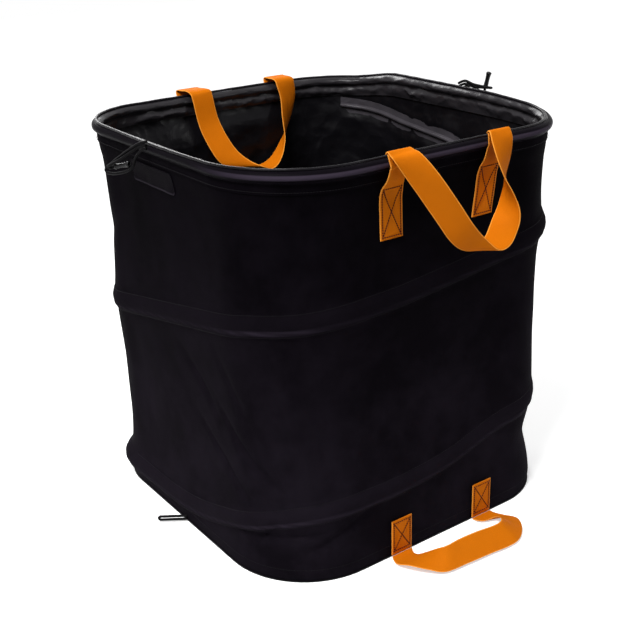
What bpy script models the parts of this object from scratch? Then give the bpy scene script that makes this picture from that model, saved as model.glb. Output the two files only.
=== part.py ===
"""A pop up leaf bag: a square fabric tube held open by two wire hoops and one spiral wire.

Metres, +Z up, origin on the floor under the middle of the bag. The -Y face is the front, with a carry handle
hanging outside and a tipping handle on the floor. Sewn layers lie one small gap apart.
"""

import bpy
import bmesh
from math import acos, cos, pi, radians, sin, sqrt, tau
from mathutils import Vector

# Whole bag
BAG_HEIGHT = 0.604
WALL_HALF = 0.272
NEAR_CORNER = 0.135
SIDE_CORNER = 0.115
WALL_THICKNESS = 0.002
PANEL_THICKNESS = 0.002
LAYER_GAP = 0.0003

# Spring wire, and the ferrules that join the hoops' ends
WIRE_RADIUS = 0.002
WIRE_END_GAP = 0.001
FERRULE_RADIUS = 0.0032
FERRULE_LENGTH = 0.040

# Hem rolled over the rim hoop, with a skirt down each side of the wall's top edge
RIM_ROLL_RADIUS = 0.0078
RIM_ROLL_OUT = 0.0002
SKIRT_DEPTH = 0.035
SKIRT_THICKNESS = 0.0012
PIPING_RADIUS = 0.0021
PIPING_ANGLE = radians(138)

# Hem rolled over the base hoop, inside the foot of the wall
BASE_ROLL_RADIUS = 0.0075
BASE_SLIT_ANGLE = radians(12)

# Spiral wire, in a strip sewn inside the wall and humped over the wire
SPIRAL_TOP_CLEARANCE = 0.004
SPIRAL_FOOT_CLEARANCE = 0.004
SLEEVE_WIDTH = 0.028
SLEEVE_THICKNESS = 0.001

# Webbing, and the tabs that sew it to the wall
WEBBING_WIDTH = 0.038
WEBBING_THICKNESS = 0.002
HANDLE_SPAN = 0.161
CARRY_TAB_FOOT = 0.114
CARRY_TAB_LEAN = 0.006
TIP_TAB_TOP = 0.061
FOLD_OUT = 0.0135

# Carry handle that hangs outside the front
FRONT_CENTRE = 0.002
FRONT_FOLD_RISE = 0.005
FRONT_REACH = 0.040
FRONT_DROP = 0.143

# Carry handle that hangs inside the rear
REAR_CENTRE = 0.025
REAR_FOLD_RISE = 0.003
REAR_REACH = 0.072
REAR_DROP = 0.132

# Tipping handle that lies on the floor in front
TIP_CENTRE = 0.016
TIP_REACH = 0.075
TIP_RISE = 0.015

# Blank label on the left face
LABEL_WIDTH = 0.118
LABEL_HEIGHT = 0.031
LABEL_THICKNESS = 0.001
LABEL_CORNER = 0.004
LABEL_ALONG = 0.019
LABEL_BELOW_SKIRT = 0.004

# Toggles on elastic cord at the rim
CORD_RADIUS = 0.0018
TOGGLE_LENGTH = 0.026
TOGGLE_RADIUS = 0.0043
TOGGLE_END_ROUND = 0.0014
TOGGLE_ALONG = 0.006
TOGGLE_TURN = radians(25)
TOGGLE_REACH = 0.082
ROOT_ANGLES = (radians(40), radians(10), radians(-20))

# Elastic loops at the base, which take the toggles when the bag is folded flat
LOOP_LENGTH = 0.048
LOOP_HALF_WIDTH = 0.0055
LOOP_FLOOR_GAP = 0.002
LOOP_TURN = radians(35)

# Counts of steps and sides
SIDES = 4
CORNER_STEPS = 7
SIDE_STEPS = 4
ROUTE_STEPS = 3
WIRE_SIDES = 8
FERRULE_SIDES = 12
TOGGLE_SIDES = 16

# What follows from the sizes above
CORNER_RADII = (NEAR_CORNER, SIDE_CORNER)
BORE_RADIUS = FERRULE_RADIUS + LAYER_GAP
WALL_FOOT = PANEL_THICKNESS + LAYER_GAP
RIM_ROLL_HEIGHT = BAG_HEIGHT - RIM_ROLL_RADIUS
WALL_TOP = RIM_ROLL_HEIGHT - BORE_RADIUS - LAYER_GAP
SKIRT_FOOT = BAG_HEIGHT - SKIRT_DEPTH
BASE_ROLL_OUT = -WALL_THICKNESS - LAYER_GAP - BASE_ROLL_RADIUS
BASE_ROLL_HEIGHT = WALL_FOOT + BASE_ROLL_RADIUS
SPIRAL_WIRE_OUT = -WALL_THICKNESS - 2 * LAYER_GAP - WIRE_RADIUS
SPIRAL_TOP = SKIRT_FOOT - SLEEVE_WIDTH / 2 - SPIRAL_TOP_CLEARANCE
SPIRAL_FOOT = BASE_ROLL_HEIGHT + BASE_ROLL_RADIUS + SLEEVE_WIDTH / 2 + SPIRAL_FOOT_CLEARANCE
HALF_WEBBING = WEBBING_THICKNESS / 2
FOLD_CLEARANCE = HALF_WEBBING * sqrt(2) + LAYER_GAP
ON_WALL = LAYER_GAP + HALF_WEBBING
ON_SKIRT = ON_WALL + SKIRT_THICKNESS + LAYER_GAP
FOLD_SPAN = HANDLE_SPAN + 2 * CARRY_TAB_LEAN
TIP_FOLD_OUT = ON_WALL + WEBBING_THICKNESS + LAYER_GAP
TIP_FOLD_HEIGHT = HALF_WEBBING + LAYER_GAP

# Course of the spiral: shares of a lap clockwise from the middle of the rear, and of the way down from its top
SPIRAL_SHARES = (
    (0.12, 0.0),
    (0.149, 0.013),
    (0.187, 0.037),
    (0.227, 0.052),
    (0.258, 0.068),
    (0.310, 0.130),
    (0.363, 0.198),
    (0.442, 0.235),
    (0.490, 0.258),
    (0.536, 0.277),
    (0.579, 0.285),
    (0.613, 0.297),
    (0.647, 0.308),
    (0.702, 0.347),
    (0.779, 0.403),
    (0.842, 0.446),
    (1.0, 0.520),
    (1.124, 0.585),
    (1.36, 0.739),
    (1.434, 0.766),
    (1.486, 0.822),
    (1.535, 0.843),
    (1.581, 0.843),
    (1.618, 0.857),
    (1.657, 0.896),
    (1.725, 0.975),
    (1.77, 1.0),
    (1.83, 1.0),
)

# Routes of the webbing: shares across the folds, out to the reach and down the drop, then the degrees that
# the width turns from across towards outwards, and the degrees that it leans up
FRONT_ROUTE_SHARES = (
    (0.012, 0.18, 0.006, 4, 3),
    (0.036, 0.40, 0.055, 15, 10),
    (0.163, 0.635, 0.28, 29, 22),
    (0.324, 0.85, 0.574, 25, 28),
    (0.442, 0.957, 0.784, 22, 27),
    (0.568, 0.94, 0.926, 15, 16),
    (0.716, 0.937, 1.025, 22, -6),
    (0.859, 0.798, 0.995, 38, -15),
    (0.966, 0.626, 0.901, 45, -14),
    (1.036, 0.523, 0.747, 78, 4),
    (1.047, 0.433, 0.573, 112, 6),
    (1.022, 0.375, 0.421, 136, 6),
    (1.007, 0.347, 0.243, 162, 3),
    (1.0, 0.28, 0.09, 180, 0),
    (1.0, 0.14, 0.015, 180, 0),
)
REAR_ROUTE_SHARES = (
    (0.02, 0.12, -0.005, 0, 0),
    (0.05, 0.28, -0.010, 0, 0),
    (0.07, 0.38, 0.012, 0, 4),
    (0.08, 0.425, 0.09, 0, 8),
    (0.118, 0.52, 0.43, 0, 20),
    (0.204, 0.79, 0.77, 4, 20),
    (0.318, 0.955, 0.926, 22, 14),
    (0.452, 1.035, 0.987, 58, 9),
    (0.59, 1.03, 1.009, 86, 0),
    (0.715, 0.93, 0.977, 97, -1),
    (0.829, 0.773, 0.897, 105, -1),
    (0.912, 0.635, 0.807, 113, -1),
    (0.97, 0.565, 0.698, 125, -2),
    (1.033, 0.446, 0.475, 149, 0),
    (1.066, 0.400, 0.248, 166, 1),
    (1.045, 0.400, 0.085, 176, 1),
    (1.035, 0.372, 0.010, 180, 0),
    (1.02, 0.28, -0.010, 180, 0),
    (1.0, 0.12, -0.005, 180, 0),
)
TIP_ROUTE_SHARES = (
    (-0.034, 0.112, -0.06, -1, 0),
    (-0.052, 0.249, -0.18, -8, 0),
    (-0.026, 0.434, -0.459, -25, -5),
    (0.059, 0.676, -0.735, -38, 14),
    (0.155, 0.889, -0.969, -53, 38),
    (0.363, 0.915, -0.985, -73, 38),
    (0.602, 0.941, -0.945, -91, 38),
    (0.799, 0.977, -0.88, -97, 35),
    (0.930, 0.950, -0.88, -109, 35),
    (1.046, 0.748, -0.686, -128, 25),
    (1.113, 0.469, -0.33, -147, 8),
    (1.046, 0.284, -0.139, -169, 1),
    (1.004, 0.140, -0.10, -177, 0),
)

# Routes of the toggles' cords: shares of the reach away from the roots, up, and out from the wall
LEFT_LOOP_SHARES = (
    (0.09, 0.055, 0),
    (0.17, 0.022, 0),
    (0.325, -0.066, 0),
    (0.486, -0.170, 0),
    (0.625, -0.262, 0),
    (0.745, -0.345, 0),
    (0.858, -0.422, 0),
    (0.903, -0.482, 0),
    (0.862, -0.528, 0),
    (0.742, -0.533, 0),
    (0.633, -0.515, 0),
    (0.5, -0.480, 0),
    (0.380, -0.425, 0),
    (0.298, -0.352, 0),
    (0.266, -0.275, 0),
    (0.215, -0.190, 0),
    (0.145, -0.115, 0),
    (0.080, -0.065, 0),
)
LEFT_LEAD_SHARES = (
    (0.09, -0.004, 0),
    (0.17, -0.036, 0),
    (0.30, -0.112, 0.015),
    (0.45, -0.208, 0.035),
    (0.57, -0.283, 0.055),
    (0.66, -0.325, 0.062),
    (0.730, -0.362, 0.060),
    (0.783, -0.394, 0.050),
    (0.796, -0.424, 0.036),
    (0.772, -0.436, 0.008),
)
LEFT_BARREL_SHARES = ((0.684, -0.409, 0), (0.377, -0.333, 0))
RIGHT_LOOP_SHARES = (
    (0.06, 0.140, -0.020),
    (0.15, 0.187, -0.022),
    (0.29, 0.185, -0.035),
    (0.43, 0.188, -0.072),
    (0.55, 0.175, -0.083),
    (0.640, 0.160, -0.055),
    (0.668, 0.147, 0),
    (0.640, 0.134, 0.055),
    (0.55, 0.128, 0.083),
    (0.43, 0.128, 0.075),
    (0.29, 0.128, 0.045),
    (0.15, 0.080, 0.030),
    (0.06, 0.006, 0.015),
)
RIGHT_LEAD_SHARES = (
    (0.06, 0.078, -0.010),
    (0.15, 0.128, -0.012),
    (0.29, 0.130, -0.006),
    (0.39, 0.098, 0),
    (0.450, 0.062, 0),
    (0.502, 0.046, 0),
)
RIGHT_BARREL_SHARES = ((0.545, 0.140, 0), (0.614, 0.445, 0))
THREADED_SHARES = (-0.66, -0.5, 0, 0.34)


def clear_scene():
    """Remove what the file opened with."""
    for old in list(bpy.data.objects):
        bpy.data.objects.remove(old, do_unlink=True)


def material(name, colour, roughness, metallic=0.0):
    """A Principled material of one colour."""
    made = bpy.data.materials.new(name)
    made.use_nodes = True
    shader = made.node_tree.nodes["Principled BSDF"]
    shader.inputs["Base Color"].default_value = (*colour, 1.0)
    shader.inputs["Roughness"].default_value = roughness
    shader.inputs["Metallic"].default_value = metallic
    return made


def link(name, data, finish=None):
    """A new object in the scene, with its material."""
    made = bpy.data.objects.new(name, data)
    bpy.context.scene.collection.objects.link(made)
    if finish:
        data.materials.append(finish)
    return made


def solid(name, bm, finish):
    """A closed bmesh as an object, its faces outwards and its round stretches smooth."""
    bmesh.ops.recalc_face_normals(bm, faces=bm.faces)
    mesh = bpy.data.meshes.new(name)
    bm.to_mesh(mesh)
    bm.free()
    mesh.shade_smooth()
    mesh.set_sharp_from_angle(angle=radians(40))
    return link(name, mesh, finish)


def carried(name, axis_point, parent, pieces):
    """An empty on a moving body's joint axis, with the body's pieces under it."""
    empty = link(name, None)
    empty.location = axis_point
    bpy.context.view_layer.update()
    if parent:
        empty.parent = parent
        empty.matrix_parent_inverse = parent.matrix_world.inverted()
        bpy.context.view_layer.update()
    for piece in pieces:
        piece.parent = empty
        piece.matrix_parent_inverse = empty.matrix_world.inverted()
    return empty


def turned(vector, angle):
    """A vector in plan, turned counter-clockwise."""
    x = vector.x * cos(angle) - vector.y * sin(angle)
    y = vector.x * sin(angle) + vector.y * cos(angle)
    return Vector((x, y, 0))


def face_axes(turn):
    """Outward and clockwise directions of the face whose middle is nearest to a turn."""
    outward = turned(Vector((0, 1, 0)), -round(turn * SIDES) * tau / SIDES)
    return outward, turned(outward, -tau / SIDES)


def side_length(radius):
    """Length of a side of the wall between the middles of two corners of one radius."""
    return 2 * (WALL_HALF - radius) + radius * pi / 2


def off_wall(turn, out, height):
    """A point out from the wall's outer face, in turns clockwise from the middle of the rear face."""
    outward, forward = face_axes(turn)
    face = round(turn * SIDES)
    share = turn * SIDES - face
    radius = CORNER_RADII[face % 2]
    if share < 0:
        forward = -forward
        radius = CORNER_RADII[(face - 1) % 2]
    along = abs(share) * side_length(radius)
    straight = min(along, WALL_HALF - radius)
    bend = (along - straight) / radius
    centre = outward * (WALL_HALF - radius) + forward * straight
    radial = outward * cos(bend) + forward * sin(bend)
    return centre + radial * (radius + out) + Vector((0, 0, height))


def on_face(turn, along, out, height):
    """A point out from the flat of a face, along it clockwise from its middle."""
    outward, forward = face_axes(turn)
    return outward * (WALL_HALF + out) + forward * along + Vector((0, 0, height))


def lap_turns(side_steps=1):
    """Turns of one lap's stations: each corner's arc from end to end, and the straight after it."""
    straights = [(WALL_HALF - radius) / side_length(radius) for radius in CORNER_RADII]
    turns = []
    for side in range(SIDES):
        before, after = straights[side % 2], straights[(side + 1) % 2]
        for step in range(CORNER_STEPS):
            turns.append((side + before + (1 - 2 * before) * step / CORNER_STEPS) / SIDES)
        for step in range(side_steps):
            turns.append((side + 1 - before + (before + after) * step / side_steps) / SIDES)
    return turns


def skin(bm, loops, closed):
    """Join like loops of points into one surface, round on itself or capped at both ends."""
    rows = [[bm.verts.new(point) for point in loop] for loop in loops]
    pairs = list(zip(rows, rows[1:]))
    if closed:
        pairs.append((rows[-1], rows[0]))
    for one, other in pairs:
        for index in range(len(one)):
            after = (index + 1) % len(one)
            bm.faces.new((one[index], one[after], other[after], other[index]))
    if not closed:
        bm.faces.new(rows[0])
        bm.faces.new(rows[-1])


def skinned(name, loops, closed, finish):
    """A solid skinned over loops of points."""
    bm = bmesh.new()
    skin(bm, loops, closed)
    return solid(name, bm, finish)


def hoop(name, section, finish):
    """A section of (out, height) points swept once round the wall."""
    loops = [[off_wall(turn, out, height) for out, height in section] for turn in lap_turns()]
    return skinned(name, loops, True, finish)


def arc(out, height, radius, start, end, steps):
    """Points of an arc in a section, its angles measured up from outwards."""
    angles = [start + (end - start) * step / steps for step in range(steps + 1)]
    return [(out + radius * cos(angle), height + radius * sin(angle)) for angle in angles]


def circle(out, height, radius, sides):
    """Points of a whole circle in a section."""
    return arc(out, height, radius, 0, tau - tau / sides, sides - 1)


def under_arc(out, radius):
    """Angle at which a circle's underside stands a distance outwards of its centre."""
    return -acos(out / radius)


def smooth(rows, steps=ROUTE_STEPS):
    """Rows of numbers on one smooth curve through the given rows."""
    padded = [rows[0], *rows, rows[-1]]
    found = []
    for a, b, c, d in zip(padded, padded[1:], padded[2:], padded[3:]):
        for step in range(steps):
            t = step / steps
            weights = (
                (-t + 2 * t**2 - t**3) / 2,
                (2 - 5 * t**2 + 3 * t**3) / 2,
                (t + 4 * t**2 - 3 * t**3) / 2,
                (t**3 - t**2) / 2,
            )
            found.append([sum(w * v for w, v in zip(weights, four)) for four in zip(a, b, c, d)])
    return [*found, list(rows[-1])]


def side_wall(finish):
    """The fabric tube, open at both ends, its foot on the base panel and its top inside the rim hem."""
    section = [(0, WALL_FOOT), (0, WALL_TOP), (-WALL_THICKNESS, WALL_TOP), (-WALL_THICKNESS, WALL_FOOT)]
    return hoop("side_wall", section, finish)


def base_panel(finish):
    """The bottom panel, flat on the floor under the wall's foot."""
    loops = [[off_wall(turn, 0, height) for turn in lap_turns()] for height in (0, PANEL_THICKNESS)]
    return skinned("base_panel", loops, False, finish)


def base_hem(finish):
    """The hem round the base hoop, slit where its fabric meets itself."""
    start, end = pi + BASE_SLIT_ANGLE / 2, 3 * pi - BASE_SLIT_ANGLE / 2
    outer = arc(BASE_ROLL_OUT, BASE_ROLL_HEIGHT, BASE_ROLL_RADIUS, start, end, 12)
    bore = arc(BASE_ROLL_OUT, BASE_ROLL_HEIGHT, BORE_RADIUS, end, start, 10)
    return hoop("base_hem", outer + bore, finish)


def rim_hem(finish):
    """The hem over the rim hoop: a roll on two skirts, and a slot between them for the wall's top edge."""
    slot_outer, slot_inner = LAYER_GAP, -WALL_THICKNESS - LAYER_GAP
    skirt_outer, skirt_inner = slot_outer + SKIRT_THICKNESS, slot_inner - SKIRT_THICKNESS
    start = under_arc(skirt_outer - RIM_ROLL_OUT, RIM_ROLL_RADIUS)
    end = tau + under_arc(skirt_inner - RIM_ROLL_OUT, RIM_ROLL_RADIUS)
    roll = arc(RIM_ROLL_OUT, RIM_ROLL_HEIGHT, RIM_ROLL_RADIUS, start, end, 12)
    start = tau + under_arc(slot_inner - RIM_ROLL_OUT, BORE_RADIUS)
    end = under_arc(slot_outer - RIM_ROLL_OUT, BORE_RADIUS)
    bore = arc(RIM_ROLL_OUT, RIM_ROLL_HEIGHT, BORE_RADIUS, start, end, 10)
    outer_skirt = [(slot_outer, SKIRT_FOOT), (skirt_outer, SKIRT_FOOT)]
    inner_skirt = [(skirt_inner, SKIRT_FOOT), (slot_inner, SKIRT_FOOT)]
    return hoop("rim_hem", outer_skirt + roll + inner_skirt + bore, finish)


def rim_piping(finish):
    """The thin piped edge that stands along the inner side of the rim's roll."""
    away = RIM_ROLL_RADIUS + LAYER_GAP + PIPING_RADIUS
    out = RIM_ROLL_OUT + away * cos(PIPING_ANGLE)
    height = RIM_ROLL_HEIGHT + away * sin(PIPING_ANGLE)
    return hoop("rim_piping", circle(out, height, PIPING_RADIUS, 6), finish)


def hoop_wire(name, out, height, finish):
    """A hoop of wire whose ends nearly meet at the middle of the rear."""
    apart = WIRE_END_GAP / 2 / (SIDES * side_length(SIDE_CORNER))
    turns = [apart, *lap_turns(), 1 - apart]
    section = circle(out, height, WIRE_RADIUS, WIRE_SIDES)
    loops = [[off_wall(turn, *point) for point in section] for turn in sorted(turns)]
    return skinned(name, loops, False, finish)


def ferrule(name, out, height, finish):
    """The crimped tube over a hoop's two ends."""
    bore = WIRE_RADIUS + LAYER_GAP
    profile = (
        (-FERRULE_LENGTH / 2, bore),
        (-FERRULE_LENGTH / 2, FERRULE_RADIUS),
        (FERRULE_LENGTH / 2, FERRULE_RADIUS),
        (FERRULE_LENGTH / 2, bore),
    )
    loops = []
    for step in range(FERRULE_SIDES):
        angle = tau * step / FERRULE_SIDES
        loops.append([on_face(0, along, out + radius * cos(angle), height + radius * sin(angle)) for along, radius in profile])
    return skinned(name, loops, True, finish)


def spiral_height(turn):
    """Height of the spiral's middle line."""
    for (start, above), (end, below) in zip(SPIRAL_SHARES, SPIRAL_SHARES[1:]):
        if turn <= end:
            break
    fallen = above + (below - above) * (turn - start) / (end - start)
    return SPIRAL_TOP + (SPIRAL_FOOT - SPIRAL_TOP) * fallen


def spiral(name, section, inset, finish):
    """A section of (out, height) points swept along the spiral, its ends some stations in from the strip's."""
    laps = [lap + turn for lap in range(2) for turn in lap_turns(SIDE_STEPS)]
    turns = [turn for turn in sorted(laps) if SPIRAL_SHARES[0][0] <= turn <= SPIRAL_SHARES[-1][0]]
    turns = turns[inset : len(turns) - inset]
    loops = [[off_wall(turn, out, spiral_height(turn) + rise) for out, rise in section] for turn in turns]
    return skinned(name, loops, False, finish)


def spiral_wire(finish):
    """The spiral spring."""
    return spiral("spiral_wire", circle(SPIRAL_WIRE_OUT, 0, WIRE_RADIUS, WIRE_SIDES), 1, finish)


def spiral_sleeve(finish):
    """The strip over the spiral: two flat edges against the wall and a hump that clears the wire."""
    face = -WALL_THICKNESS - LAYER_GAP
    bore, hump = WIRE_RADIUS + LAYER_GAP, WIRE_RADIUS + LAYER_GAP + SLEEVE_THICKNESS
    outer = [(SPIRAL_WIRE_OUT + out, rise) for out, rise in arc(0, 0, hump, 3 * pi / 2, pi / 2, 4)]
    inner = [(SPIRAL_WIRE_OUT + out, rise) for out, rise in arc(0, 0, bore, pi / 2, 3 * pi / 2, 4)]
    edge = SLEEVE_WIDTH / 2
    section = [(face, -edge), (face - SLEEVE_THICKNESS, -edge), (face - SLEEVE_THICKNESS, -hump), *outer]
    section += [(face - SLEEVE_THICKNESS, hump), (face - SLEEVE_THICKNESS, edge), (face, edge), (face, bore)]
    section += [*inner, (face, -bore)]
    return spiral("spiral_sleeve", section, 0, finish)


def ribbon(name, rows, finish):
    """Flat webbing through rows of (centre, half width), one thickness through."""
    loops = []
    for index, (centre, half) in enumerate(rows):
        before, after = rows[max(index - 1, 0)][0], rows[min(index + 1, len(rows) - 1)][0]
        through = (after - before).cross(half).normalized() * HALF_WEBBING
        loops.append([centre - half - through, centre + half - through, centre + half + through, centre - half + through])
    return skinned(name, loops, False, finish)


def handle_loop(name, left, right, reach, drop, shares, finish):
    """A handle's webbing from its left fold to its right one, which hangs out along -Y and down."""
    back = Vector((0, HALF_WEBBING, 0))
    middle = []
    for across, out, down, turn, lean in shares:
        centre = left.lerp(right, across) + Vector((0, -out * reach, -down * drop))
        middle.append((*centre, radians(turn), radians(lean)))
    last_turn = radians(shares[-1][3])
    rows = []
    for x, y, z, turn, lean in smooth([(*(left + back), 0, 0), *middle, (*(right + back), last_turn, 0)]):
        width = Vector((cos(turn) * cos(lean), -sin(turn) * cos(lean), sin(lean)))
        rows.append((Vector((x, y, z)), width * WEBBING_WIDTH / 2))
    return ribbon(name, rows, finish)


def fold_points(turn, centre, span, out, height):
    """The left and right ends of a handle's fold line, left being towards -X."""
    ends = [on_face(turn, side * span / 2, out, height) for side in (-1, 1)]
    ends.sort(key=lambda point: point.x)
    return [point + Vector((centre, 0, 0)) for point in ends]


def carry_tab(name, turn, tab_x, fold_x, fold_height, finish):
    """Webbing sewn down the wall under the rim, over the hem's roll and up to the fold."""
    outward = face_axes(turn)[0]
    hug = arc(RIM_ROLL_OUT, RIM_ROLL_HEIGHT, RIM_ROLL_RADIUS + LAYER_GAP + HALF_WEBBING, -pi / 3, -pi / 18, 4)
    step = SKIRT_DEPTH / 5
    profile = [(ON_WALL, BAG_HEIGHT - CARRY_TAB_FOOT), (ON_WALL, SKIRT_FOOT - step), (ON_SKIRT, SKIRT_FOOT), *hug]
    profile += [(FOLD_OUT, fold_height - FOLD_CLEARANCE - step), (FOLD_OUT, fold_height - FOLD_CLEARANCE)]
    foot, top = profile[0][1], profile[-1][1]
    rows = []
    for out, height in profile:
        x = tab_x + (fold_x - tab_x) * (height - foot) / (top - foot)
        centre = outward * (WALL_HALF + out) + Vector((x, 0, height))
        rows.append((centre, Vector((WEBBING_WIDTH / 2, 0, 0))))
    return ribbon(name, rows, finish)


def carry_handle(name, turn, centre, fold_rise, reach, drop, shares, finish):
    """Two tabs and the loop between their folds. Returns the tabs, the loop and the middle of the fold."""
    height = BAG_HEIGHT + fold_rise
    tabs_at = fold_points(turn, centre, HANDLE_SPAN, ON_WALL, height)
    folds = fold_points(turn, centre, FOLD_SPAN, FOLD_OUT, height)
    tabs = []
    for side, tab, fold in zip(("left", "right"), tabs_at, folds):
        tabs.append(carry_tab(f"{name}_{side}_tab", turn, tab.x, fold.x, height, finish))
    loop = handle_loop(f"{name}_handle_loop", *folds, reach, drop, shares, finish)
    return tabs, loop, folds[0].lerp(folds[1], 1 / 2)


def tip_handle(finish):
    """The tipping handle: two tabs at the foot of the front and the loop on the floor."""
    half = Vector((WEBBING_WIDTH / 2, 0, 0))
    tabs = []
    for side, point in zip(("left", "right"), fold_points(1 / 2, TIP_CENTRE, HANDLE_SPAN, ON_WALL, 0)):
        ends = [point + Vector((0, 0, height)) for height in (TIP_FOLD_HEIGHT + FOLD_CLEARANCE, TIP_TAB_TOP)]
        tabs.append(ribbon(f"tip_{side}_tab", [(end, half) for end in ends], finish))
    folds = fold_points(1 / 2, TIP_CENTRE, HANDLE_SPAN, TIP_FOLD_OUT, TIP_FOLD_HEIGHT)
    loop = handle_loop("tip_handle_loop", *folds, TIP_REACH, TIP_RISE, TIP_ROUTE_SHARES, finish)
    return tabs, loop, folds[0].lerp(folds[1], 1 / 2)


def label(finish):
    """A blank label sewn below the rim's skirt."""
    top = SKIRT_FOOT - LABEL_BELOW_SKIRT
    corners = ((1, 1, 0), (-1, 1, 1), (-1, -1, 2), (1, -1, 3))
    outline = []
    for across, up, quarter in corners:
        along = LABEL_ALONG + across * (LABEL_WIDTH / 2 - LABEL_CORNER)
        height = top - LABEL_HEIGHT / 2 + up * (LABEL_HEIGHT / 2 - LABEL_CORNER)
        outline += arc(along, height, LABEL_CORNER, quarter * pi / 2, (quarter + 1) * pi / 2, 3)
    faces = (LAYER_GAP, LAYER_GAP + LABEL_THICKNESS)
    loops = [[on_face(3 / 4, along, out, height) for along, height in outline] for out in faces]
    return skinned("label", loops, False, finish)


def cord(name, points, finish):
    """Round elastic cord along points."""
    curve = bpy.data.curves.new(name, "CURVE")
    curve.dimensions = "3D"
    curve.bevel_depth = CORD_RADIUS
    curve.bevel_resolution = 2
    curve.use_fill_caps = True
    spline = curve.splines.new("POLY")
    spline.points.add(len(points) - 1)
    for held, point in zip(spline.points, points):
        held.co = (*point, 1)
    return link(name, curve, finish)


def toggle_barrel(name, start, end, finish):
    """A tubular toggle with rounded ends, midway between start and end along the line through them."""
    axis = (end - start).normalized()
    across = axis.cross(Vector((0, 0, 1))).normalized()
    up = across.cross(axis)
    middle, half = start.lerp(end, 1 / 2), TOGGLE_LENGTH / 2
    bore, shoulder = CORD_RADIUS + LAYER_GAP, TOGGLE_RADIUS - TOGGLE_END_ROUND
    profile = [(-half, bore), (-half, shoulder), (-half + TOGGLE_END_ROUND, TOGGLE_RADIUS)]
    profile += [(-along, radius) for along, radius in reversed(profile)]
    loops = []
    for step in range(TOGGLE_SIDES):
        angle = tau * step / TOGGLE_SIDES
        spoke = across * cos(angle) + up * sin(angle)
        loops.append([middle + axis * along + spoke * radius for along, radius in profile])
    return skinned(name, loops, True, finish)


def toggle(name, turn, loop_shares, lead_shares, ends, cord_finish, barrel_finish):
    """A loop and a lead of cord from the rim's roll, a toggle on the lead. Returns them and the lowest root."""
    outward, forward = face_axes(turn)
    away = outward * sin(TOGGLE_TURN) + forward * cos(TOGGLE_TURN)
    aside = outward * cos(TOGGLE_TURN) - forward * sin(TOGGLE_TURN)
    grip = RIM_ROLL_RADIUS + LAYER_GAP + CORD_RADIUS
    middle = on_face(turn, TOGGLE_ALONG, RIM_ROLL_OUT + grip, RIM_ROLL_HEIGHT)
    roots = []
    for angle in ROOT_ANGLES:
        out, height = RIM_ROLL_OUT + grip * cos(angle), RIM_ROLL_HEIGHT + grip * sin(angle)
        roots.append(on_face(turn, TOGGLE_ALONG, out, height))

    def at(share):
        return middle + (away * share[0] + Vector((0, 0, share[1])) + aside * share[2]) * TOGGLE_REACH

    start, end = map(at, ends)
    axis = (end - start).normalized() * TOGGLE_LENGTH
    threaded = [start.lerp(end, 1 / 2) + axis * share for share in THREADED_SHARES]
    pieces = []
    for part, route in (
        ("loop", [roots[0], *map(at, loop_shares), roots[2]]),
        ("lead", [roots[1], *map(at, lead_shares), *threaded]),
    ):
        points = [Vector(row) for row in smooth([tuple(point) for point in route])]
        pieces.append(cord(f"{name}_{part}", points, cord_finish))
    pieces.append(toggle_barrel(f"{name}_barrel", start, end, barrel_finish))
    return pieces, roots[2]


def base_loop(name, turn, finish):
    """A loop of cord from the foot of the wall, its strands one above the other. Returns it and its upper root."""
    outward, forward = face_axes(turn)
    away = outward * cos(LOOP_TURN) + forward * sin(LOOP_TURN)
    middle = LOOP_FLOOR_GAP + CORD_RADIUS + LOOP_HALF_WIDTH
    root = on_face(turn, 0, LAYER_GAP + CORD_RADIUS * sin(LOOP_TURN), middle)
    bend = arc(LOOP_LENGTH - LOOP_HALF_WIDTH, 0, LOOP_HALF_WIDTH, pi / 2, -pi / 2, 8)
    route = [(0, LOOP_HALF_WIDTH), *bend, (0, -LOOP_HALF_WIDTH)]
    points = [root + away * along + Vector((0, 0, up)) for along, up in route]
    return cord(name, points, finish), points[0]


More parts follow.
